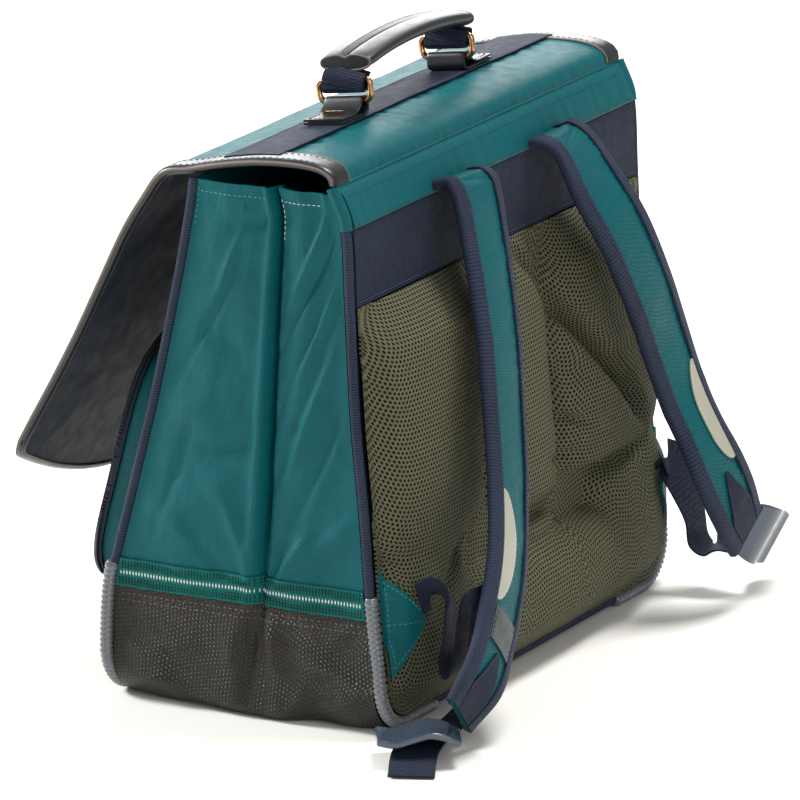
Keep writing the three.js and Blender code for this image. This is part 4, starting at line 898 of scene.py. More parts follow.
cloth_wall("shoulder_webbing", 90, 24, back_skin(MESH_TOP + GAP, BAND_TOP + 4, 1.6), (400, 55),
           (0, 1, 0), 1.5, NAVY, ("shoulder_band",))


def strip_place(u, v):
    z = BAND_TOP + STRIP * v
    roll = 3.2 * max(0.0, (z - HEIGHT + 6) / 6) ** 2
    edge = 0.8 * math.exp(-((z - BAND_TOP - 1.5) / 2.5) ** 2)
    x = (2 * u - 1) * PANEL_HALF
    wave = 0.5 * noise.noise(Vector((x / 40, z / 30, 3.1)))
    wave += 0.5 * math.sin(x / 3.1 + 4 * noise.noise(Vector((x / 26, 0, 8)))) * v * (1 - v) * 3
    return Vector((x, back_line(z) + BACK_FACE + 2.4 + edge + wave - roll, z))


cloth_wall("top_strip_cloth", 130, 24, strip_place, (400, 25), (0, 1, 0), 1.8, TEAL,
           ("top_strip",))

STRIP_FOLD = 1.5
STRIP_FOLD_STEPS = 200
fold = [strip_place(k / STRIP_FOLD_STEPS, 1.0) + Vector((0, -0.3, 0.4)) for k in range(STRIP_FOLD_STEPS + 1)]
tube("strip_fold_edge", frames_along(fold, lambda i: (0, 1, 0)), round_section(STRIP_FOLD), 400, TEAL,
     around=12)

# %% [markdown]
# ## Piping and corner guards
# The seams between the walls are piped: a cord inside a folded strip of webbing. At the four corners a
# moulded plastic guard with close ribs takes the knocks. Both are tubes along the seam, and the guard's
# radius rises and falls with its length, which gives the ribs.

# %% Piping


def seam_point(line, sign, x, z, step):
    y = line(z)
    return Vector((sign * x, y + math.copysign(step, y), z))


def heights(low, high, step=6):
    count = max(2, round((high - low) / step))
    return [low + (high - low) * i / count for i in range(count + 1)]


SEAMS = (("front", front_line, MOUTH), ("back", back_line, HEIGHT))
for face, line, top in SEAMS:
    for side, sign in SIDES:
        rise = [seam_point(line, sign, SEAM, z, 0) for z in heights(GUARD_LEG - 4, top)]
        tube(f"piping_cord_{face}_{side}", frames_along(rise, lambda i: (0, 1, 0)), round_section(PIPING),
             top - GUARD_LEG, NAVY_BINDING, (f"piping_{face}_{side}",), around=20)
        if face == "back":
            crown = [seam_point(line, sign, SEAM, z, 0.3) for z in heights(BAND_TOP - 1, HEIGHT + 0.4, 1.5)]
            tube(f"seam_crown_{side}", frames_along(crown, lambda i: (0, 1, 0)), round_section(PIPING + 0.8),
                 STRIP, TEAL, around=24)
    reach = SEAM - CORNER - GUARD_FOOT + 4
    foot = [seam_point(line, 1, x, SEAM_LIFT, 0) for x in heights(-reach, reach, 12)]
    tube(f"piping_cord_{face}_foot", frames_along(foot, lambda i: (0, 1, 0)), round_section(PIPING),
         2 * reach, NAVY_BINDING, (f"piping_{face}_foot",), around=20)

# %% Corner guards
RIB_PITCH = 3.6
RIB_RISE = 0.75
GUARD_STATION = 0.6


def guard_run(line, sign):
    middle = SEAM - CORNER
    level = SEAM_LIFT + CORNER
    reach = CORNER + GUARD_STEP
    run = [(middle + reach, z) for z in heights(level, GUARD_LEG, 4)[::-1]]
    run += [(middle + reach * math.cos(a), level - reach * math.sin(a))
            for a in (math.pi / 2 * k / 24 for k in range(1, 25))]
    run += [(middle - GUARD_FOOT * k / 8, level - reach) for k in range(1, 9)]
    return resample([seam_point(line, sign, x, z, GUARD_STEP) for x, z in run], GUARD_STATION)


def ribbed_section(run, radius):
    count = len(run)

    def section(u, i):
        s = i * GUARD_STATION
        end = min(1.0, i / 5, (count - 1 - i) / 5)
        plain = s < 5 or i > count - 9
        rib = 0 if plain else RIB_RISE * (0.5 + 0.5 * math.cos(2 * math.pi * s / RIB_PITCH))
        r = radius * (0.8 + 0.2 * end) - RIB_RISE + (RIB_RISE if plain else rib)
        return r * math.cos(2 * math.pi * u), r * math.sin(2 * math.pi * u)

    return section


for face, line, top in SEAMS:
    for side, sign in SIDES:
        run = guard_run(line, sign)
        tube(f"corner_guard_{face}_{side}", frames_along(run, lambda i: (0, 1, 0)),
             ribbed_section(run, GUARD), len(run) * GUARD_STATION, GUARD_PLASTIC,
             (f"guard_{face}_{side}",), around=18, sharp=80)

# %% [markdown]
# ## Flap
# The flap is one stiff sheet that turns over the top and hangs down the front. Its side view is one curve. A
# place on the flap is given by how far across it lies and how far it is along that curve, so the cloth, the
# lining and the leather edge are the same surface at three heights.

# %% Flap curve
FLAP_HINGE = 66
FLAP_CROWN = 371
FLAP_DROP = 257
FLAP_SIDE_RISE = 68
FLAP_CORNER = 8
FLAP_HALF = HALF_WIDTH - 2
LINING_WALL = 1.0
TRIM_WIDTH = 18
FLAP_TOP = ((1.0, 0.967), (1.0, 0.976), (0.965, 0.987), (0.87, 0.9955), (0.7, 1.0), (0.45, 1.0),
            (0.13, 0.9955), (-0.25, 0.983), (-0.55, 0.97), (-0.86, 0.957))
FLAP_HANG = ((0.08, 0.062), (0.16, 0.112), (0.31, 0.186), (0.48, 0.27), (0.74, 0.415), (1.0, 0.572))

rows = [(0, back * FLAP_HINGE, up * FLAP_CROWN) for back, up in FLAP_TOP]
bend_y = FLAP_TOP[-1][0] * FLAP_HINGE
bend_z = FLAP_TOP[-1][1] * FLAP_CROWN
rows += [(0, bend_y - forward * FLAP_DROP, bend_z - down * FLAP_DROP) for down, forward in FLAP_HANG]
FLAP_CURVE = centripetal(rows, 24)
FLAP_RUN = lengths_along(FLAP_CURVE)
FLAP_LENGTH = FLAP_RUN[-1]
print("flap length in mm:", round(FLAP_LENGTH, 1))


def flap_at(x, s, lift=0.0):
    s = min(max(s, 0.0), FLAP_LENGTH)
    i = min(bisect_right(FLAP_RUN, s) - 1, len(FLAP_RUN) - 2)
    t = (s - FLAP_RUN[i]) / (FLAP_RUN[i + 1] - FLAP_RUN[i])
    at = FLAP_CURVE[i].lerp(FLAP_CURVE[i + 1], t)
    a, b = max(i - 2, 0), min(i + 3, len(FLAP_CURVE) - 1)
    along = (FLAP_CURVE[b] - FLAP_CURVE[a]).normalized()
    up = Vector((0, along.z, -along.y))
    return Vector((x, at.y, at.z)) + up * lift


def flap_up(s):
    return (flap_at(0, s, 1) - flap_at(0, s)).normalized()


def flap_reach(x):
    share = min(abs(x) / FLAP_HALF, 1)
    corner = FLAP_CORNER * max(0.0, (share - 0.94) / 0.06) ** 2
    return FLAP_LENGTH - FLAP_SIDE_RISE * share ** 1.5 - corner


def flap_run(x, v):
    half = flap_reach(FLAP_HALF) / 2
    return 2 * v * half if v <= 0.5 else half + (2 * v - 1) * (flap_reach(x) - half)


FLAP_SWELLS = soft_folds((
    (-120, 200, 10, 60, 16, 1.2),
    (100, 230, -8, 60, 18, 1.2),
    (0, 320, 4, 90, 20, -1.2),
    (150, 300, 60, 40, 14, 0.9),
))


PUCKER_FROM = 47


def flap_puckers(x, s):
    """Short ripples that the band's seam and the hinge seam draw into the cloth."""
    phase = x / 2.9 + s * 0.12 + 5 * noise.noise(Vector((x / 30, s / 40, 0)))
    near = math.exp(-max(0.0, PUCKER_FROM - s) / 11) + 0.5 * math.exp(-s / 5)
    return 0.9 * math.sin(phase) * near * (s < PUCKER_FROM + 4) * (0.4 + noise.noise(Vector((x / 22, 7, 2))))


def flap_layer(low, puckered=True):
    def place(u, v):
        x = (2 * u - 1) * FLAP_HALF
        s = flap_run(x, v)
        swell = 0.5 * FLAP_SWELLS(x, s) + crumple((x, s, 0), 90, 0.6)
        return flap_at(x, s, low + swell + (flap_puckers(x, s) if puckered else 0))

    return place


cloth_wall("flap_cloth", 216, 126, flap_layer(CLOTH / 2), (406, 400), (0, 0, 1), CLOTH, TEAL,
           ("flap",))
cloth_wall("flap_lining_sheet", 110, 130, flap_layer(-CLOTH / 2 - GAP, puckered=False), (406, 400),
           (0, 0, 1), LINING_WALL, LINING, ("flap_lining",))

# %% [markdown]
# The edge of the flap is bound in coated leather: a strip folded round the edge and stitched through. Its
# section is a narrow U. The line of the edge is laid out in flap coordinates, rounded at the lower corners
# and then carried along.

# %% Flap trim
TRIM_WALL = 1.0
TRIM_ROOM = 0.3
TRIM_UNDER = 3


def flap_edge():
    side_end = flap_reach(FLAP_HALF)
    edge = [(FLAP_HALF, s) for s in heights(1.3, side_end - 10, 4)]
    edge += [(FLAP_HALF * share, flap_reach(FLAP_HALF * share)) for share in
             [1 - 0.006 * k for k in range(1, 12)] + [0.93 - 0.031 * k for k in range(30)]]
    return edge + [(0.0, flap_reach(0))] + [(-x, s) for x, s in reversed(edge)]


def trim_stations():
    edge = flap_edge()
    for _ in range(3):
        edge = [edge[0]] + [tuple((a + 2 * b + c) / 4 for a, b, c in zip(p, q, r))
                            for p, q, r in zip(edge, edge[1:], edge[2:])] + [edge[-1]]
    stations = []
    for i, (x, s) in enumerate(edge):
        ahead, behind = edge[min(i + 1, len(edge) - 1)], edge[max(i - 1, 0)]
        run = Vector((ahead[0] - behind[0], ahead[1] - behind[1])).normalized()
        up = flap_up(s)
        down_slope = Vector((1, 0, 0)).cross(up)
        outward = Vector((run.y, 0, 0)) - down_slope * run.x
        stations.append((flap_at(x, s), outward, up))
    return stations


def folded_strip(outline, thickness):
    """A closed section round an open line: out along it and back a thickness inside."""
    line = [Vector(p) for p in outline]
    inner = []
    for i, p in enumerate(line):
        along = (line[min(i + 1, len(line) - 1)] - line[max(i - 1, 0)]).normalized()
        inner.append(p + Vector((along.y, -along.x)) * thickness)
    loop = line + inner[::-1]

    def section(u, _):
        i = round(u * len(loop)) % len(loop)
        return loop[i].x, loop[i].y

    return section, len(loop)


TOP = CLOTH / 2 + TRIM_ROOM + TRIM_WALL
LOW = -CLOTH / 2 - GAP - LINING_WALL - TRIM_ROOM - TRIM_WALL
ROUND = (TOP - LOW) / 2
trim_line = [(-TRIM_WIDTH, TOP), (-TRIM_WIDTH + 1, TOP + 0.2), (-TRIM_WIDTH * 0.6, TOP), (-5, TOP)]
trim_line += [(0.4 - ROUND + (ROUND + 1.2) * math.sin(a), (TOP + LOW) / 2 + ROUND * math.cos(a))
              for a in (math.pi * k / 10 for k in range(11))]
trim_line += [(-1.5, LOW), (-TRIM_UNDER, LOW)]
trim_section, trim_around = folded_strip(trim_line, TRIM_WALL)
trim_frames = trim_stations()
tube("flap_edge_trim", trim_frames, trim_section, 1100, LEATHER, ("flap_trim",),
     around=trim_around, sharp=50)

# %% [markdown]
# ## Handle
# A wide band of webbing crosses the top of the flap under the handle. On each side a leather tab folds round
# a metal ring and a webbing loop joins the ring to the grip. The webbing leans a little towards the wearer
# above the rings. All these strips are one flat section carried along a short route of (out, up) steps.

# %% Flap band
BAND_WIDTH = 40
BAND_BACK = 3


def flap_place(y):
    low, high = 0.0, FLAP_LENGTH / 2
    for _ in range(40):
        middle = (low + high) / 2
        if flap_at(0, middle).y > y:
            low = middle
        else:
            high = middle
    return low


band_from = flap_place(BAND_BACK + BAND_WIDTH / 2)
band_to = flap_place(BAND_BACK - BAND_WIDTH / 2)
BAND_HALF = FLAP_HALF - TRIM_WIDTH + 8


def band_place(u, v):
    s = band_from + (band_to - band_from) * v
    x = (2 * u - 1) * BAND_HALF
    return flap_at(x, s, CLOTH / 2 + 2.0 + crumple((x, s, 0), 40, 0.3))


cloth_wall("flap_band_webbing", 120, 14, band_place, (370, 40), (0, 0, 1), 1.5, NAVY,
           ("flap_band",))

# %% Handle frame
HANDLE_SPAN = 144
RING_WIRE = 2.1
RING_LIFT = 8.3
RING_HEIGHT = 19.6
RING_WIDTH = 42
RING_CORNER = 6
TAB_WALL = 1.8
TAB_WIDTH = 28
TAB_LENGTH = 34
GRIP_LIFT = 28.5
GRIP_WIDTH = 38
GRIP_THICKNESS = 12
GRIP_ARCH = 6
GRIP_INSET = 3
HANDLE_LEAN = 0.35
WEBBING_DIP = 5.5
HANDLE_WEBBING = 30

seat_s = flap_place(8)
SEAT_UP = flap_up(seat_s)
SEAT = flap_at(0, seat_s, CLOTH / 2 + GAP + 1.6 + GAP)
SEAT_SIDE = Vector((1, 0, 0)).cross(SEAT_UP).normalized()


def handle_point(sign, out, up):
    lean = HANDLE_LEAN * max(0, up - RING_LIFT - RING_HEIGHT / 2)
    return SEAT + SEAT_UP * up + Vector((sign * (HANDLE_SPAN / 2 + out), lean, 0))


def arc(out, up, radius, start, stop, count):
    turns = [math.radians(start + (stop - start) * k / count) for k in range(count + 1)]
    return [(out + radius * math.cos(turn), up + radius * math.sin(turn)) for turn in turns]


def handle_strip(name, sign, route, width, thickness, material, nodes):
    points = resample(centripetal([handle_point(sign, out, up) for out, up in route], 6), 1.0)
    return tube(name, frames_along(points, lambda i: SEAT_SIDE), superellipse(width / 2, thickness / 2, 0.3),
                lengths_along(points)[-1], material, nodes, around=32)


# %% Tabs, rings and webbing
wrap = RING_WIRE + GAP
for side, sign in SIDES:
    loop = wrap + TAB_WALL / 2
    flat_low = TAB_WALL / 2
    flat_high = flat_low + TAB_WALL + GAP
    tab = [(TAB_LENGTH, flat_low), (TAB_LENGTH / 2, flat_low), (-loop * 0.6, flat_low),
           (-loop * 1.2, RING_LIFT * 0.45)]
    tab += arc(0, RING_LIFT, loop, 180, 20, 8)
    tab += [(TAB_LENGTH * 0.24, flat_high + 2.2), (TAB_LENGTH * 0.42, flat_high), (TAB_LENGTH, flat_high)]
    handle_strip(f"handle_tab_leather_{side}", sign, tab, TAB_WIDTH, TAB_WALL, LEATHER,
                 (f"handle_tab_{side}",))
    keeper_up = flat_high + TAB_WALL / 2 + GAP + 1
    keeper = [(TAB_LENGTH * 0.5, keeper_up), (TAB_LENGTH * 0.5 + 1.5, keeper_up + 0.1),
              (TAB_LENGTH * 0.5 + 3, keeper_up)]
    handle_strip(f"handle_keeper_bar_{side}", sign, keeper, TAB_WIDTH * 0.5, 2, GOLD,
                 (f"handle_keeper_{side}",))
    web_loop = wrap + 0.9
    dip = RING_LIFT + RING_HEIGHT - 2 * RING_WIRE - WEBBING_DIP
    clear = dip + WEBBING_DIP + RING_WIRE
    web = [(-web_loop - GRIP_INSET, GRIP_LIFT + 2), (-web_loop, clear)]
    web += arc(0, dip, web_loop, 180, 360, 10) + [(web_loop, clear), (web_loop - GRIP_INSET, GRIP_LIFT + 2)]
    handle_strip(f"handle_loop_{side}", sign, web, HANDLE_WEBBING, 1.8, NAVY,
                 (f"handle_webbing_{side}",))
    tall = RING_HEIGHT / 2 - RING_WIRE - RING_CORNER
    wide = RING_WIDTH / 2 - RING_WIRE - RING_CORNER
    ring = []
    for quarter, across_sign, up_sign in ((0, 1, 1), (1, -1, 1), (2, -1, -1), (3, 1, -1)):
        for k in range(8):
            a = (quarter + k / 8) * math.pi / 2
            up = RING_LIFT + tall + RING_CORNER + up_sign * tall + RING_CORNER * math.sin(a)
            across = across_sign * wide + RING_CORNER * math.cos(a)
            ring.append(handle_point(sign, 0, up) + SEAT_SIDE * across)
    stations = []
    for i, at in enumerate(ring):
        along = (ring[(i + 1) % len(ring)] - ring[i - 1]).normalized()
        across = Vector((1, 0, 0))
        stations.append((at, across, across.cross(along)))
    tube(f"handle_ring_wire_{side}", stations, round_section(RING_WIRE), 110, GOLD,
         (f"handle_ring_{side}",), around=14, closed=True)

# %% [markdown]
# The grip is a sheet of the same leather wrapped round two stuffing rolls, so its top shows two swellings and
# the seam between them. A superellipse with a groove down its middle makes that section, and it narrows at
# both ends, where the leather is pulled together round the webbing.

# %% Grip


def grip_section(u, i):
    c, s = math.cos(2 * math.pi * u), math.sin(2 * math.pi * u)
    a = math.copysign(abs(c) ** 0.7, c)
    b = math.copysign(abs(s) ** 0.75, s)
    groove = 0.34 * math.exp(-(a / 0.16) ** 2) if s > 0 else 0.05 * math.exp(-(a / 0.2) ** 2)
    crown = 1 - 0.1 * a * a - groove
    taper = GRIP_TAPER[i]
    return a * GRIP_WIDTH / 2 * (0.86 + 0.14 * taper), b * GRIP_THICKNESS / 2 * crown * (0.62 + 0.38 * taper)


GRIP_REACH = HANDLE_SPAN / 2 + RING_WIRE - GRIP_INSET + 1.8
GRIP_STEPS = 90
grip_x = [(2 * k / GRIP_STEPS - 1) * GRIP_REACH for k in range(GRIP_STEPS + 1)]
GRIP_TAPER = [0.62 + 0.38 * min(1.0, (GRIP_REACH - abs(x)) / 9) ** 0.5 for x in grip_x]
grip_lean = HANDLE_LEAN * (GRIP_LIFT - RING_LIFT - RING_HEIGHT / 2)
grip_points = [SEAT + SEAT_UP * (GRIP_LIFT + GRIP_THICKNESS / 2 + GRIP_ARCH * (1 - (x / GRIP_REACH) ** 2))
               + Vector((x, grip_lean, 0)) for x in grip_x]
grip = tube("handle_grip_leather", frames_along(grip_points, lambda i: SEAT_SIDE), grip_section,
            2 * GRIP_REACH, LEATHER, ("handle_grip",), around=64)

# %% [markdown]
# ## Front pocket and fasteners
# The front isn't seen in the photograph apart from the pocket's edge and its zip, so it is finished plainly:
# a box pocket with round corners, a zip round its side, and two leather straps that end in clasps.

# %% Pocket
POCKET_WIDTH = 360
POCKET_HEIGHT = 190
POCKET_BOTTOM = 52
POCKET_DEPTH = 33
POCKET = table_lines(("inward", "depth"), (
    (0.0, 0.0),
    (0.006, 0.5),
    (0.022, 0.86),
    (0.07, 0.97),
    (0.3, 1.0),
    (0.7, 1.0),
))


def pocket_face(turn, ring, lift=0.0):
    c, s = math.cos(turn), math.sin(turn)
    inward = POCKET["inward"](ring)
    depth = POCKET_DEPTH * POCKET["depth"](ring)
    if ring > 1:
        inward, depth = 0.7 + 0.3 * (ring - 1) * 2, POCKET_DEPTH
    x = (POCKET_WIDTH / 2 * (1 - inward) + lift) * math.copysign(abs(c) ** 0.42, c)
    rise = (POCKET_HEIGHT / 2 * (1 - inward) + lift) * math.copysign(abs(s) ** 0.42, s)
    z = POCKET_BOTTOM + POCKET_HEIGHT / 2 + rise
    return Vector((x, front_line(z) - 1.25 - GAP - depth - lift * min(1.0, ring * 2), z))


def pocket_place(u, v):
    turn = 2 * math.pi * (u % 1.0)
    return pocket_face(turn, 1.5 * v)


bm = bent_grid(160, 44, pocket_place, (900, 160), rolled=True)
face_out(bm, (0, -1, 0))
bmesh.ops.solidify(bm, geom=bm.faces[:], thickness=CLOTH * MM)
finish_piece("front_pocket_cloth", bm, TEAL, ("front_pocket",))

# %% Zip


def zip_place(low, high, lift):
    def place(u, v):
        turn = math.radians(-40 + 260 * u)
        return pocket_face(turn, low + (high - low) * v, lift)

    return place


ZIP_RING = 0.38
zip_tape = bent_grid(170, 6, zip_place(ZIP_RING - 0.08, ZIP_RING + 0.08, 1.5), (800, 14))
face_out(zip_tape, (0, -1, 0))
bmesh.ops.solidify(zip_tape, geom=zip_tape.faces[:], thickness=0.9 * MM)
finish_piece("pocket_zip_tape", zip_tape, NAVY, ("pocket_zip",))

# %% [markdown]
# Zip teeth, stitches and other small repeats are one small solid made with an operator and copied along a
# line. The copies are joined in one mesh, so a seam of a hundred stitches is still one piece.

# %% Repeats along a line


def repeated(name, solid, placements, material):
    """Joins copies of one small bmesh solid, one for each 4x4 matrix."""
    solid.verts.ensure_lookup_table()
    points = np.array([vert.co for vert in solid.verts])
    faces = [[vert.index for vert in face.verts] for face in solid.faces]
    solid.free()
    verts, polygons = [], []
    for k, matrix in enumerate(placements):
        m = np.array(matrix)
        verts.append(points @ m[:3, :3].T + m[:3, 3])
        polygons += [[i + k * len(points) for i in face] for face in faces]
    mesh = bpy.data.meshes.new(name)
    mesh.from_pydata(np.vstack(verts) * MM, [], polygons)
    mesh.shade_smooth()
    mesh.materials.append(material)
    piece = bpy.data.objects.new(name, mesh)
    bpy.context.scene.collection.objects.link(piece)
    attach(piece, "root")
    return piece


def placement(at, along, up):
    along = along.normalized()
    up = (up - along * up.dot(along)).normalized()
    side = up.cross(along)
    return Matrix((along, side, up)).transposed().to_4x4() if at is None else (
        Matrix.Translation(at) @ Matrix((along, side, up)).transposed().to_4x4())


def bead(length, width, height):
    solid = bmesh.new()
    bmesh.ops.create_icosphere(solid, subdivisions=1, radius=1)
    bmesh.ops.scale(solid, vec=(length / 2, width / 2, height / 2), verts=solid.verts[:])
    return solid


def seam_of_stitches(name, lines, material, pitch=3.6, length=2.9, width=0.75, height=0.8):
    """lines holds (points, normals) pairs; a stitch lies on the surface at each step."""
    places = []
    for points, up_of in lines:
        line = resample(points, pitch)
        for i in range(len(line) - 1):
            middle = line[i].lerp(line[i + 1], 0.5)
            places.append(placement(middle, line[i + 1] - line[i], up_of(middle, i / (len(line) - 1))))
    return repeated(name, bead(length, width, height), places, material)


teeth = []
for k in range(430):
    turn = math.radians(-38 + 256 * k / 430)
    at = pocket_face(turn, ZIP_RING, 2.0)
    ahead = pocket_face(turn + 0.01, ZIP_RING, 2.0) - at
    across = pocket_face(turn, ZIP_RING + 0.04, 2.0) - at
    teeth.append(placement(at, across, ahead.cross(across)))
repeated("pocket_zip_teeth", bead(5.4, 1.1, 1.5), teeth, THREAD_DARK)

start = pocket_face(math.radians(-40), ZIP_RING - 0.1, 2.4)
pull = [start + Vector(step) for step in ((1.4, 0, 0), (1.0, 3, -9), (-1.0, 6, -25))]
tube("zip_pull", frames_along(resample(centripetal(pull, 8), 1), lambda i: (0, 1, 0)), superellipse(3.4, 1.1),
     28, LEATHER, ("zip_slider",), around=24)

# %% Flap straps, clasps and catches
CLASP_SPREAD = 105


def on_flap(x_middle, half, start_s, end_s, lift):
    def place(u, v):
        s = start_s + (end_s - start_s) * v
        return flap_at(x_middle + (2 * u - 1) * half, s, lift)

    return place


for side, sign in SIDES:
    x = sign * CLASP_SPREAD
    end = flap_reach(abs(x) + 17) - TRIM_WIDTH - 1
    low = CLOTH / 2 + 4 * GAP
    cloth_wall(f"flap_strap_leather_{side}", 14, 60, on_flap(x, 13, end - 120, end, low + 2.2), (26, 120),
               (0, -1, 0.5), 2.2, LEATHER, (f"flap_strap_{side}",))
    clasp = bent_grid(12, 14, on_flap(x, 17, end - 40, end, low + 2.5 + 6), (34, 40))
    face_out(clasp, (0, -1, 0.5))
    bmesh.ops.solidify(clasp, geom=clasp.faces[:], thickness=6 * MM)
    finish_piece(f"clasp_plate_{side}", clasp, SMOKE, (f"flap_clasp_{side}",))

    deepest = front_line(POCKET_BOTTOM + POCKET_HEIGHT / 2) - 32

    def catch_place(u, v):
        z = 86 + 40 * (v - 0.5)
        y = min(front_line(z) - 1.25 - 32 - 2 * GAP, deepest) - 6
        return Vector((x + (2 * u - 1) * 17, y, z))

    catch = bent_grid(8, 8, catch_place, (34, 40))
    face_out(catch, (0, -1, 0))
    bmesh.ops.solidify(catch, geom=catch.faces[:], thickness=6 * MM)
    finish_piece(f"catch_plate_{side}", catch, SMOKE, (f"catch_{side}",))

# %% [markdown]
# ## Shoulder straps
# Each strap is a long pad with a soft crown and webbing bound over both edges. Its route is a table of places
# with the way it faces, and the pad's half width and thickness go with it. The root is thin, because the foam
# ends before the seam, and the free end narrows again to meet its adjusting webbing.

# %% Strap routes
STRAP_WIDTH = 54
STRAP_THICKNESS = 9
STRAP_EDGE = 3
BINDING = 9
STRAP_COLUMNS = ("out", "back", "up", "face", "wide", "thick")
NEAR_STRAP = table_lines(STRAP_COLUMNS, (
    (0.318, 0.4052, 0.941, 74, 0.94, 0.4),
    (0.322, 0.462, 0.944, 60, 0.96, 0.6),
    (0.334, 0.5, 0.912, 28, 0.98, 0.85),
    (0.36, 0.545, 0.826, 10, 1.0, 1.0),
    (0.404, 0.612, 0.681, 0, 1.0, 1.0),
    (0.463, 0.665, 0.544, 0, 1.0, 1.0),
    (0.55, 0.725, 0.419, 0, 1.0, 1.0),
    (0.681, 0.79, 0.3, 0, 1.0, 1.0),
    (0.823, 0.827, 0.204, 0, 1.0, 0.95),
    (0.945, 0.848, 0.138, 0, 0.96, 0.75),
    (1.05, 0.812, 0.076, -8, 0.82, 0.5),
))
FAR_STRAP = table_lines(STRAP_COLUMNS, (
    (0.318, 0.4052, 0.941, 74, 0.94, 0.4),
    (0.322, 0.462, 0.946, 60, 0.96, 0.6),
    (0.345, 0.512, 0.915, 26, 0.98, 0.85),
    (0.378, 0.56, 0.856, 8, 1.0, 1.0),
    (0.448, 0.633, 0.757, 0, 1.0, 1.0),
    (0.546, 0.676, 0.636, 0, 1.0, 1.0),
    (0.63, 0.7, 0.526, 0, 1.0, 1.0),
    (0.676, 0.748, 0.42, 0, 1.0, 1.0),
    (0.712, 0.834, 0.306, 0, 1.0, 0.95),
    (0.785, 0.876, 0.214, 0, 0.96, 0.75),
    (0.862, 0.885, 0.145, 0, 0.82, 0.5),
))
STRAPS = (("near", 1, NEAR_STRAP, 0.69), ("far", -1, FAR_STRAP, 0.74))


def strap_frame(table, sign, t):
    def place(share):
        share = min(max(share, 0.0), 1.0)
        return Vector((sign * HALF_WIDTH * table["out"](share), DEPTH * table["back"](share),
                       HEIGHT * table["up"](share)))

    along = (place(t + 0.004) - place(t - 0.004)).normalized()
    face = math.radians(table["face"](t))
    up = Vector((0, math.cos(face), math.sin(face)))
    up = (up - along * up.dot(along)).normalized()
    side = up.cross(along) * -sign
    return place(t), side, up, STRAP_WIDTH / 2 * table["wide"](t), STRAP_THICKNESS * table["thick"](t)


def strap_height(half, thick, across):
    edge = STRAP_EDGE / 2
    flat = half - BINDING
    crown = max(thick / 2, edge)
    shoulder = edge + (crown - edge) * 0.55
    a = abs(across)
    if a >= flat:
        return edge + (shoulder - edge) * (half - a) / BINDING
    return shoulder + (crown - shoulder) * (1 - (a / flat) ** 2)


def strap_length(table):
    points = [strap_frame(table, 1, k / 60)[0] for k in range(61)]
    return lengths_along(points)[-1]


STRAP_STEPS = 230
STRAP_CREASES = soft_folds((
    (-8, 34, 20, 20, 3.2, 0.9),
    (6, 46, -14, 22, 3.5, -0.8),
    (-4, 60, 10, 24, 4.5, 0.7),
    (10, 86, -24, 20, 5, 0.6),
    (-10, 120, 16, 26, 6, 0.6),
    (4, 170, -8, 24, 7, 0.5),
    (-6, 250, 12, 26, 8, 0.5),
    (6, 300, -10, 24, 6, 0.5),
))


def strap_tube(name, table, sign, material, nodes, section_of, around):
    frames = [strap_frame(table, sign, k / STRAP_STEPS) for k in range(STRAP_STEPS + 1)]
    length = strap_length(table)

    def section(u, i):
        return section_of(u, frames[i], length * i / STRAP_STEPS)

    stations = [frame_[:3] for frame_ in frames]
    return tube(name, stations, section, length, material, nodes, around=around)


def pad_section(u, frame_, s):
    _, _, _, half, thick = frame_
    turn = 2 * math.pi * u
    across = half * math.copysign(abs(math.cos(turn)) ** 0.8, math.cos(turn))
    height = strap_height(half, thick, across)
    rounding = min(1.0, abs(math.sin(turn)) * 3.2) ** 0.5
    outer = math.sin(turn) >= 0
    crease = STRAP_CREASES(across, s) + crumple((across, s, 5), 22, 0.35) if outer else 0.0
    pucker = 0.25 * math.sin(2 * math.pi * s / 7) * math.exp(-((abs(across) - half + BINDING + 3) / 4) ** 2)
    return across, math.copysign(height * rounding + (crease + pucker) * rounding * outer, math.sin(turn))


def binding_section(edge):
    def section(u, frame_, s):
        _, _, _, half, thick = frame_
        inner = half - BINDING
        low = strap_height(half, thick, inner) + 0.5
        tip = strap_height(half, thick, half) + 0.5
        out = half + 0.5
        line = [(inner, low), (inner + BINDING / 2, (low + tip) / 2 + 0.15), (out - 1.2, tip)]
        line += [(out - 1.2 + 1.2 * math.sin(a), tip * math.cos(a)) for a in
                 (math.pi * k / 6 for k in range(1, 6))]
        line += [(x, -y) for x, y in reversed(line[:3])]
        outer = []
        for k, (x, y) in enumerate(line):
            ahead, behind = line[min(k + 1, len(line) - 1)], line[max(k - 1, 0)]
            run = Vector((ahead[0] - behind[0], ahead[1] - behind[1])).normalized()
            outer.append((x - run.y * 1.3, y + run.x * 1.3))
        loop = line + outer[::-1]
        a, b = loop[round(u * len(loop)) % len(loop)]
        return edge * a, b

    return section


for side, sign, table, _ in STRAPS:
    pad = strap_tube(f"strap_cloth_{side}", table, sign, TEAL, (f"strap_pad_{side}",),
                     pad_section, 64)
    for edge, label in ((1, "inner"), (-1, "outer")):
        strap_tube(f"strap_edge_{label}_{side}", table, sign, NAVY_BINDING,
                   (f"strap_binding_{label}_{side}",), binding_section(edge), 22)

# %% Patches on the straps
PATCH = 0.9
PATCH_LIFT = 0.6


def strap_point(table, sign, t, across, lift):
    at, side, up, half, thick = strap_frame(table, sign, t)
    s = strap_length_of[id(table)] * t
    crease = STRAP_CREASES(across, s) if abs(across) < half - BINDING else 0
    return at + side * across + up * (strap_height(half, thick, across) + crease + lift)


strap_length_of = {id(table): strap_length(table) for _, _, table, _ in STRAPS}


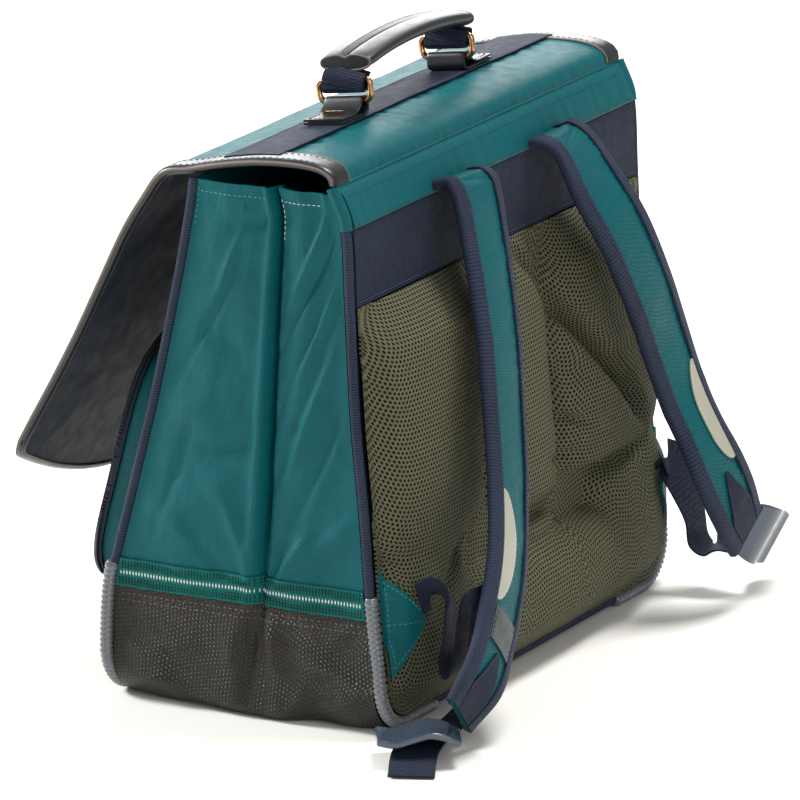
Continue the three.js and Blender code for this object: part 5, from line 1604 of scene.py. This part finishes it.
def strap_patch(name, table, sign, start, stop, sides_of, material, nodes, steps=(60, 16),
                size=(40, 60)):
    def place(u, v):
        t = start + (stop - start) * u
        _, _, _, half, _ = strap_frame(table, sign, t)
        a, b = sides_of(u, half)
        return strap_point(table, sign, t, a + (b - a) * v, PATCH_LIFT + PATCH)

    return cloth_wall(name, steps[0], steps[1], place, size, (0, 1, 0), PATCH, material, nodes)


REFLECTOR_LENGTH = 60
REFLECTOR_WIDTH = 15
END_TAB = 56
LABEL_LENGTH = 24
for side, sign, table, at in STRAPS:
    length = strap_length_of[id(table)]
    reach = REFLECTOR_LENGTH / length / 2
    strap_patch(f"reflector_band_{side}", table, sign, at - reach, at + reach,
                lambda u, half: (half - BINDING + 0.8, half - BINDING - 2.2
                                 - REFLECTOR_WIDTH * math.sin(math.pi * u) ** 0.6),
                REFLECTOR, (f"strap_reflector_{side}",), size=(96, 15))
    strap_patch(f"end_tab_webbing_{side}", table, sign, 1 - END_TAB / length, 1,
                lambda u, half: ((half - BINDING - 1.2) * min(1, 0.12 + 1.5 * u),
                                 -(half - BINDING - 1.2) * min(1, 0.12 + 1.5 * u)),
                NAVY, (f"strap_end_tab_{side}",), size=(56, 36))
length = strap_length_of[id(NEAR_STRAP)]
span = LABEL_LENGTH / length / 2
label_at = 1 - END_TAB / length - span - 0.01
strap_patch("label_plate", NEAR_STRAP, 1, label_at - span, label_at + span,
            lambda u, half: (half - BINDING - 1.2, -(half - BINDING - 1.2)), LABEL, ("strap_label",),
            size=(24, 36))

# %% [markdown]
# ## Adjusting webbing, locks and anchors
# Below each pad a narrow webbing runs from a sewn triangle at the bottom corner up to a ladder lock. It hangs
# slack, so it turns over itself. The route is a short table with the direction of the webbing's width, and
# the section is a thin strip with soft edges.

# %% Webbing routes
WEBBING_WIDTH = 30
WEBBING_THICKNESS = 1.8
WEBBING_ROWS = {
    "near": (
        (0.855, 0.614, 0.262, 0.7, 0.1, 0.6),
        (0.825, 0.646, 0.248, 0.85, 0.3, 0.2),
        (0.815, 0.655, 0.195, 0.95, 0.2, 0.0),
        (0.81, 0.652, 0.13, 1.0, 0.0, 0.0),
        (0.81, 0.667, 0.108, 1.0, 0.0, 0.0),
        (0.805, 0.688, 0.125, 1.0, 0.0, 0.0),
        (0.79, 0.702, 0.184, 1.0, 0.0, 0.0),
        (0.78, 0.714, 0.246, 1.0, 0.0, 0.0),
        (0.78, 0.733, 0.264, 1.0, 0.0, 0.0),
        (0.78, 0.752, 0.246, 1.0, 0.0, 0.0),
        (0.79, 0.752, 0.19, 1.0, 0.0, 0.1),
        (0.84, 0.73, 0.09, 0.85, 0.3, 0.4),
        (0.905, 0.7, 0.03, 0.5, 0.8, 0.2),
        (0.985, 0.69, 0.028, 0.1, 1.0, 0.0),
        (1.2, 0.735, 0.024, -0.3, 1.0, 0.0),
        (1.33, 0.79, 0.005, -0.4, 0.9, 0.0),
    ),
    "far": (
        (0.89, 0.583, 0.262, 0.8, 0.1, 0.5),
        (0.91, 0.615, 0.225, 0.95, 0.2, 0.1),
        (0.935, 0.66, 0.15, 1.0, 0.0, 0.0),
        (0.94, 0.675, 0.1, 1.0, 0.0, 0.0),
        (0.945, 0.71, 0.085, 1.0, 0.0, 0.0),
        (0.96, 0.745, 0.095, 1.0, 0.0, 0.3),
        (1.0, 0.794, 0.108, 0.6, 0.2, 0.8),
    ),
}
WEBBING_START = (0.89, 0.25, 0.65, 0.0, 0.75)
ANCHOR_LENGTH = 70
ANCHOR_DEPTH = 27
ANCHOR_LEVEL = 74


def anchor_lift(x, z):
    return back_line(z) + BACK_FACE + pad_relief(x, z) + 1


def webbing_start():
    out, up, across_x, _, across_z = WEBBING_START
    reach = [anchor_lift(out * HALF_WIDTH + step * across_x, up * HEIGHT + step * across_z)
             for step in (WEBBING_WIDTH * (k / 6 - 0.5) for k in range(7))]
    return max(reach) + 2.2 - 0.6 + WEBBING_THICKNESS / 2


for side, sign in SIDES:
    out, up, *first_across = WEBBING_START
    table = [(Vector((sign * out * HALF_WIDTH, webbing_start(), up * HEIGHT)), first_across)]
    table += [(Vector((sign * row[0] * HALF_WIDTH, row[1] * DEPTH, row[2] * HEIGHT)), row[3:])
              for row in WEBBING_ROWS[side]]
    steps = 10
    route = centripetal([at for at, _ in table], steps)
    turns = table_lines(("x", "y", "z"), [across for _, across in table])
    last = len(route) - 1
    stations = frames_along(route, lambda i: (sign * turns["x"](i / last), turns["y"](i / last),
                                              turns["z"](i / last)))
    tube(f"adjusting_webbing_{side}", stations, superellipse(WEBBING_WIDTH / 2, WEBBING_THICKNESS / 2, 0.25),
         lengths_along(route)[-1], NAVY, (f"strap_webbing_{side}",), around=36)

# %% Anchors


def anchor_place(sign):
    def place(u, v):
        x = SEAM - SEAM_ROOM - GAP - ANCHOR_DEPTH * u
        z = ANCHOR_LEVEL + ANCHOR_LENGTH / 2 * (1 - 0.94 * u) * (2 * v - 1)
        return Vector((sign * x, anchor_lift(x, z) + 2.2, z))

    return place


for side, sign in SIDES:
    cloth_wall(f"anchor_cloth_{side}", 30, 40, anchor_place(sign), (27, 70), (0, 1, 0), 2.2, TEAL,
               (f"anchor_{side}",))

# %% [markdown]
# A ladder lock is a moulded frame with a bar across it. The side view is a wave, so the webbing wedges
# under the bar. A flat plate is bent along the wave and given its thickness.

# %% Ladder locks
LOCK_LENGTH = 54
LOCK_WIDTH = 42
LOCK_THICKNESS = 4.4
LOCK_WAVE = 6
LOCK_RISE = table_lines(("along", "rise"), (
    (-0.5, -0.5),
    (-0.3, 0.35),
    (-0.1, 0.6),
    (0.12, 0.1),
    (0.3, -0.35),
    (0.5, -0.1),
), "along")
LOCK_PLACES = {
    "near": ((1.139, 0.716, 0.047), (0.5, -0.86, 0), (0.86, 0.5, 0.06)),
    "far": ((-1.056, 0.859, 0.109), (-0.8, -0.1, -0.3), (0.05, -0.36, -0.92)),
}
for side, (at, along, across) in LOCK_PLACES.items():
    centre = Vector((at[0] * HALF_WIDTH, at[1] * DEPTH, at[2] * HEIGHT))
    length = Vector(along).normalized()
    width = Vector(across)
    width = (width - length * width.dot(length)).normalized()
    up = width.cross(length)
    if up.z + 0.5 * up.y < 0:
        up = -up

    def lock_place(u, v):
        step = v - 0.5
        rise = LOCK_RISE["rise"](step) * LOCK_WAVE + LOCK_THICKNESS / 2
        narrow = 1 - 0.12 * abs(2 * step) ** 4
        return centre + length * step * LOCK_LENGTH + up * rise + width * (u - 0.5) * LOCK_WIDTH * narrow

    bm = bent_grid(14, 36, lock_place, (42, 54))
    face_out(bm, up)
    bmesh.ops.solidify(bm, geom=bm.faces[:], thickness=LOCK_THICKNESS * MM)
    lock = finish_piece(f"ladder_lock_body_{side}", bm, SMOKE, (f"ladder_lock_{side}",))
    edges = lock.modifiers.new("soft_edges", "BEVEL")
    edges.width = 0.0009
    edges.segments = 3
    edges.limit_method = "ANGLE"

# %% [markdown]
# ## Seams
# Stitching tells the eye how big a bag is, so every seam that shows gets its own row. Each row follows the
# same function that placed the cloth, which keeps the stitches on the surface when a fold moves it. A row is
# one joined piece of small beads, half sunk in the cloth.

# %% End wall seams


def level_on_gusset(z):
    return (z - BOOT_TOP - GAP) / (MOUTH - BOOT_TOP - GAP)


def facing(sign):
    return lambda at, share: Vector((sign, 0, 0))


def shares(start, stop, count):
    return [start + (stop - start) * k / count for k in range(count + 1)]


hem = []
for side, sign in SIDES:
    level = level_on_gusset(MOUTH - HEM + 2)
    hem.append(([gusset(sign)(u, level) for u in shares(0.03, 0.52, 60)], facing(sign)))
    upright = [gusset(sign)(0.02, level_on_gusset(z)) for z in shares(MOUTH - 30, MOUTH - 4, 10)]
    hem.append((upright, facing(sign)))
seam_of_stitches("hem_stitches", hem, THREAD_TEAL)
hem = []
for side, sign in SIDES:
    level = level_on_gusset(MOUTH - HEM + 1)
    hem.append(([gusset(sign)(u, level) for u in shares(0.63, 0.9, 40)], facing(sign)))
    hem.append(([gusset(sign)(0.615, level_on_gusset(z)) for z in shares(MOUTH - 34, MOUTH - 6, 12)],
                facing(sign)))
seam_of_stitches("pleat_stitches", hem, THREAD_PALE, width=0.6)

dashes, ribs = [], []
for side, sign in SIDES:
    for k in range(78):
        u = 0.015 + 0.97 * k / 77
        for v, group in ((0.5, dashes), (0.2, ribs), (0.8, ribs)):
            group.append(placement(ribbon(sign)(u, v), Vector((0, 0, 1)), Vector((sign, 0, 0))))
repeated("ribbon_dashes", bead(3.4, 1.2, 0.9), dashes, THREAD_PALE)
repeated("ribbon_ribs", bead(7.0, 1.5, 1.0), ribs, RIBBON_CLOTH)

boot_rows = []
for side, sign in SIDES:
    for drop in (4.5, 9.0):
        v = drop / BOOT_LENGTH if sign > 0 else 1 - drop / BOOT_LENGTH
        boot_rows.append(([boot_place(u, v) for u in shares(0.02, 0.98, 140)], facing(sign)))
seam_of_stitches("boot_stitches", boot_rows, THREAD_BROWN, pitch=4.2, length=3.1, width=1.0,
                 height=1.1)

# %% Back and top seams


def up_and_back(at, share):
    return Vector((0, 1, 0.1))


strip_rows = [([strip_place(u, v) for u in shares(0.01, 0.99, 200)], up_and_back) for v in (0.08, 0.76)]
seam_of_stitches("strip_stitches", strip_rows, THREAD_DEEP, width=0.7)
band_skin = back_skin(MESH_TOP + GAP, BAND_TOP + 4, 1.6)
seam_of_stitches("shoulder_stitches", [([band_skin(u, 0.05) for u in shares(0.01, 0.99, 120)], up_and_back)],
                 THREAD_NAVY)
band_rows = [([band_place(u, v) for u in shares(0.01, 0.99, 160)], lambda at, share: Vector((0, 0, 1)))
             for v in (0.06, 0.94)]
seam_of_stitches("band_stitches", band_rows, THREAD_NAVY)

# %% Leather edge seams


def along_trim(out, rise):
    return [at + side_ * out + up * rise for at, side_, up in trim_frames]


def trim_up(at, share):
    return trim_frames[round(share * (len(trim_frames) - 1))][2]


trim_rows = [(along_trim(-TRIM_WIDTH + 3, TOP + 0.1), trim_up), (along_trim(-2.6, TOP - 0.15), trim_up)]
seam_of_stitches("trim_stitches", trim_rows, THREAD_DARK, pitch=4.4, length=3.3, height=0.9)
for name, out, rise, radius in (("inner", -TRIM_WIDTH - 0.2, TOP - TRIM_WALL / 2, 0.75),
                                ("outer", 1.25, (TOP + LOW) / 2 + 0.6, 0.8),
                                ("under", -TRIM_UNDER - 0.2, LOW + TRIM_WALL / 2, 0.6)):
    line = along_trim(out, rise)
    tube(f"trim_raw_edge_{name}", frames_along(line, lambda i: trim_frames[i][2]), round_section(radius),
         1100, RAW_EDGE, around=8)

# %% Handle seams
tab_rows = []
tab_top = flat_high + TAB_WALL / 2
for side, sign in SIDES:
    for edge in (-1, 1):
        row = [handle_point(sign, out, tab_top) + SEAT_SIDE * edge * (TAB_WIDTH / 2 - 2.6)
               for out in shares(TAB_LENGTH * 0.46, TAB_LENGTH - 2.4, 8)]
        tab_rows.append((row, lambda at, share: SEAT_UP))
    row = [handle_point(sign, TAB_LENGTH - 2.4, tab_top) + SEAT_SIDE * across
           for across in shares(-TAB_WIDTH / 2 + 2.6, TAB_WIDTH / 2 - 2.6, 10)]
    tab_rows.append((row, lambda at, share: SEAT_UP))
seam_of_stitches("tab_stitches", tab_rows, THREAD_DARK, pitch=3.2, length=2.4)


def grip_top(a, i):
    c = a ** (1 / 0.7)
    return grip_section(math.acos(c) / (2 * math.pi), i)


grip_row, seam_line = [], []
for i in range(3, GRIP_STEPS - 2):
    a, b = grip_top(0.26, i)
    grip_row.append(grip_points[i] + SEAT_SIDE * a + SEAT_UP * b)
    a, b = grip_top(0.001, i)
    seam_line.append(grip_points[i] + SEAT_SIDE * a + SEAT_UP * (b + 0.2))
seam_of_stitches("grip_stitches", [(grip_row, lambda at, share: SEAT_UP)], THREAD_DARK,
                 pitch=3.4, length=2.5)
tube("grip_seam", frames_along(seam_line, lambda i: SEAT_SIDE), round_section(0.7), 2 * GRIP_REACH,
     THREAD_DARK, around=8)

RIM_STEPS = 48
ACROSS = Vector((1, 0, 0))
for label, i in (("near", GRIP_STEPS), ("far", 0)):
    rim = []
    for k in range(RIM_STEPS):
        a, b = grip_section(k / RIM_STEPS, i)
        rim.append(grip_points[i] + SEAT_SIDE * a + SEAT_UP * b)
    stations = [(at, ACROSS, (rim[(k + 1) % RIM_STEPS] - rim[k - 1]).normalized().cross(ACROSS))
                for k, at in enumerate(rim)]
    tube(f"grip_raw_edge_{label}", stations, round_section(0.8), 100, RAW_EDGE, around=8,
         closed=True)

# %% Strap and anchor seams


def away(at, share):
    return Vector((0, 1, 0.2))


def strap_line(table, sign, start, stop, across_of, lift, count=120):
    return [strap_point(table, sign, t, across_of(t), lift) for t in shares(start, stop, count)]


binding_rows, reflector_rows, tab_rows = [], [], []
for side, sign, table, at in STRAPS:
    length = strap_length_of[id(table)]
    reach = REFLECTOR_LENGTH / length / 2

    def half_at(t):
        return strap_frame(table, sign, t)[3]

    for edge in (1, -1):
        beside = strap_line(table, sign, 0.06, 0.99, lambda t: edge * (half_at(t) - BINDING + 1.6), 2.0)
        binding_rows.append((beside, away))
        tab_rows.append((strap_line(table, sign, 1 - END_TAB / length + 0.02, 0.985, lambda t: edge * (
            half_at(t) - BINDING - 3.2) * min(1, 0.12 + 1.5 * (t - 1 + END_TAB / length) * length / END_TAB),
            PATCH_LIFT + PATCH, 40), away))

    def reflector_edge(t):
        bow = math.sin(math.pi * (t - at + reach) / (2 * reach)) ** 0.6
        return half_at(t) - BINDING - 1.0 - REFLECTOR_WIDTH * bow

    reflector_rows.append((strap_line(table, sign, at - reach * 0.94, at + reach * 0.94, reflector_edge,
                                      PATCH_LIFT + PATCH, 50), away))
seam_of_stitches("strap_binding_stitches", binding_rows, THREAD_NAVY, width=0.6)
seam_of_stitches("reflector_stitches", reflector_rows, THREAD_PALE, width=0.6)
seam_of_stitches("end_tab_stitches", tab_rows, THREAD_NAVY, width=0.6)

label_row = [strap_point(NEAR_STRAP, 1, label_at + step_ * span * 0.82, across, PATCH_LIFT + PATCH)
             for step_, across in ((-1, -14.5), (-1, 14.5), (1, 14.5), (1, -14.5), (-1, -14.5))]
seam_of_stitches("label_stitches", [(label_row, away)], THREAD_DARK, width=0.6)

anchor_rows = []
for side, sign in SIDES:
    place = anchor_place(sign)
    for v in (0.07, 0.5, 0.93):
        anchor_rows.append(([place(u, v) for u in shares(0.05, 0.84, 30)], away))
    anchor_rows.append(([place(0.1, v) for v in shares(0.1, 0.9, 40)], away))
seam_of_stitches("anchor_stitches", anchor_rows, THREAD_TEAL)

# %% [markdown]
# ## Light and floor
# The studio is white: a pale floor, a bright sky and three large soft lights. The main light stands high on
# the left behind the camera, a second lifts the padded side and a third brushes the top of the flap.

# %% Floor
floor_mesh = bmesh.new()
bmesh.ops.create_grid(floor_mesh, x_segments=1, y_segments=1, size=9)
floor_data = bpy.data.meshes.new("floor")
floor_mesh.to_mesh(floor_data)
floor_mesh.free()
floor = bpy.data.objects.new("floor", floor_data)
bpy.context.scene.collection.objects.link(floor)
floor_finish = bpy.data.materials.new("floor_paper")
floor_finish.use_nodes = True
floor_surface = floor_finish.node_tree.nodes["Principled BSDF"]
floor_surface.inputs["Base Color"].default_value = srgb(244, 242, 236)
floor_surface.inputs["Roughness"].default_value = 0.75
floor_surface.inputs["Specular IOR Level"].default_value = 0.2
floor_data.materials.append(floor_finish)

# %% Sky and lights
SKY_LIGHT = 0.33
world = bpy.data.worlds.new("studio")
world.use_nodes = True
sky = Tree(world.node_tree)
backdrop = world.node_tree.nodes["Background"]
backdrop.inputs["Color"].default_value = (1.0, 1.0, 1.0, 1.0)
seen = sky.node("ShaderNodeLightPath").outputs["Is Camera Ray"]
sky.feed(backdrop.inputs["Strength"], sky.math("MULTIPLY_ADD", seen, 1.05 - SKY_LIGHT, SKY_LIGHT))
bpy.context.scene.world = world
bpy.context.scene.view_settings.view_transform = "Standard"


def soft_light(name, place, aim, size, power, colour=(1.0, 1.0, 1.0)):
    data = bpy.data.lights.new(name, "AREA")
    data.shape = "DISK"
    data.size = size
    data.energy = power
    data.color = colour
    light = bpy.data.objects.new(name, data)
    away = (Vector(place) - Vector(aim)).normalized()
    light.matrix_world = Matrix.Translation(Vector(place)) @ away.to_track_quat("Z", "Y").to_matrix().to_4x4()
    bpy.context.scene.collection.objects.link(light)


soft_light("main_light", (0.7, -2.6, 1.9), (0, 0, 0.2), 0.9, 138)
soft_light("fill_light", (2.3, 2.5, 1.6), (0, 0, 0.2), 2.6, 40)
soft_light("top_light", (-0.5, 0.5, 2.5), (0, 0, 0.3), 0.9, 60)
soft_light("rim_light", (-2.5, -1.3, 1.2), (0, 0, 0.3), 1.6, 30)

# %% [markdown]
# ## Cut sizes
# The cloth pieces in the table are listed with the size in metres that they were cut to before they were sewn
# in. The panels are held tight by their seams. The adjusting straps and the loops of the handle hang free
# between theirs.
# Where a cut tapers, its own area is given.

# %% Cut sizes
CUTS = (
    ("flap_cloth", 0.41, 0.42, None, "stretched", ("top_strip",)),
    ("flap_lining_sheet", 0.41, 0.42, None, "stretched", ("flap",)),
    ("flap_band_webbing", 0.374, 0.042, None, "stretched", ("flap",)),
    ("top_strip_cloth", 0.402, 0.028, None, "stretched", ("back_panel",)),
    ("shoulder_webbing", 0.402, 0.057, None, "stretched", ("back_panel",)),
    ("front_wall", 0.4, 0.35, None, "stretched", ("base_boot",)),
    ("back_wall", 0.4, 0.35, None, "stretched", ("base_boot",)),
    ("boot_shell", 0.2, 0.53, None, "stretched", ("front_panel", "back_panel")),
    ("front_pocket_cloth", 0.42, 0.25, 0.088, "stretched", ("front_panel",)),
    ("gusset_cloth_near", 0.215, 0.285, 0.043, "stretched", ("base_boot",)),
    ("gusset_cloth_far", 0.215, 0.285, 0.043, "stretched", ("base_boot",)),
    ("anchor_cloth_near", 0.035, 0.07, 0.0015, "stretched", ("back_mesh",)),
    ("anchor_cloth_far", 0.035, 0.07, 0.0015, "stretched", ("back_mesh",)),
    ("ribbon_band_near", 0.19, 0.019, None, "stretched", ("gusset_near",)),
    ("ribbon_band_far", 0.19, 0.019, None, "stretched", ("gusset_far",)),
    ("end_tab_webbing_near", 0.04, 0.05, 0.0011, "stretched", ("strap_pad_near",)),
    ("end_tab_webbing_far", 0.04, 0.05, 0.0012, "stretched", ("strap_pad_far",)),
    ("handle_loop_near", 0.03, 0.042, None, "hung", ("handle_ring_near",)),
    ("handle_loop_far", 0.03, 0.042, None, "hung", ("handle_ring_far",)),
    ("adjusting_webbing_near", 0.03, 0.33, None, "hung", ("anchor_near", "ladder_lock_near")),
    ("adjusting_webbing_far", 0.03, 0.12, None, "hung", ("anchor_far", "ladder_lock_far")),
)
for name, width, length, area, held, on in CUTS:
    piece = bpy.data.objects[name]
    measured = sum(polygon.area for polygon in piece.data.polygons) / 2
    print(f"{name}: cut {width} x {length} m, area {area or width * length:.4f}, measured {measured:.4f}")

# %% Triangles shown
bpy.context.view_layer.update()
triangles = sum(len(p.vertices) - 2 for o in bpy.data.objects if o.type == "MESH" and not o.hide_render
                for p in o.data.polygons)
print("triangles shown:", triangles)
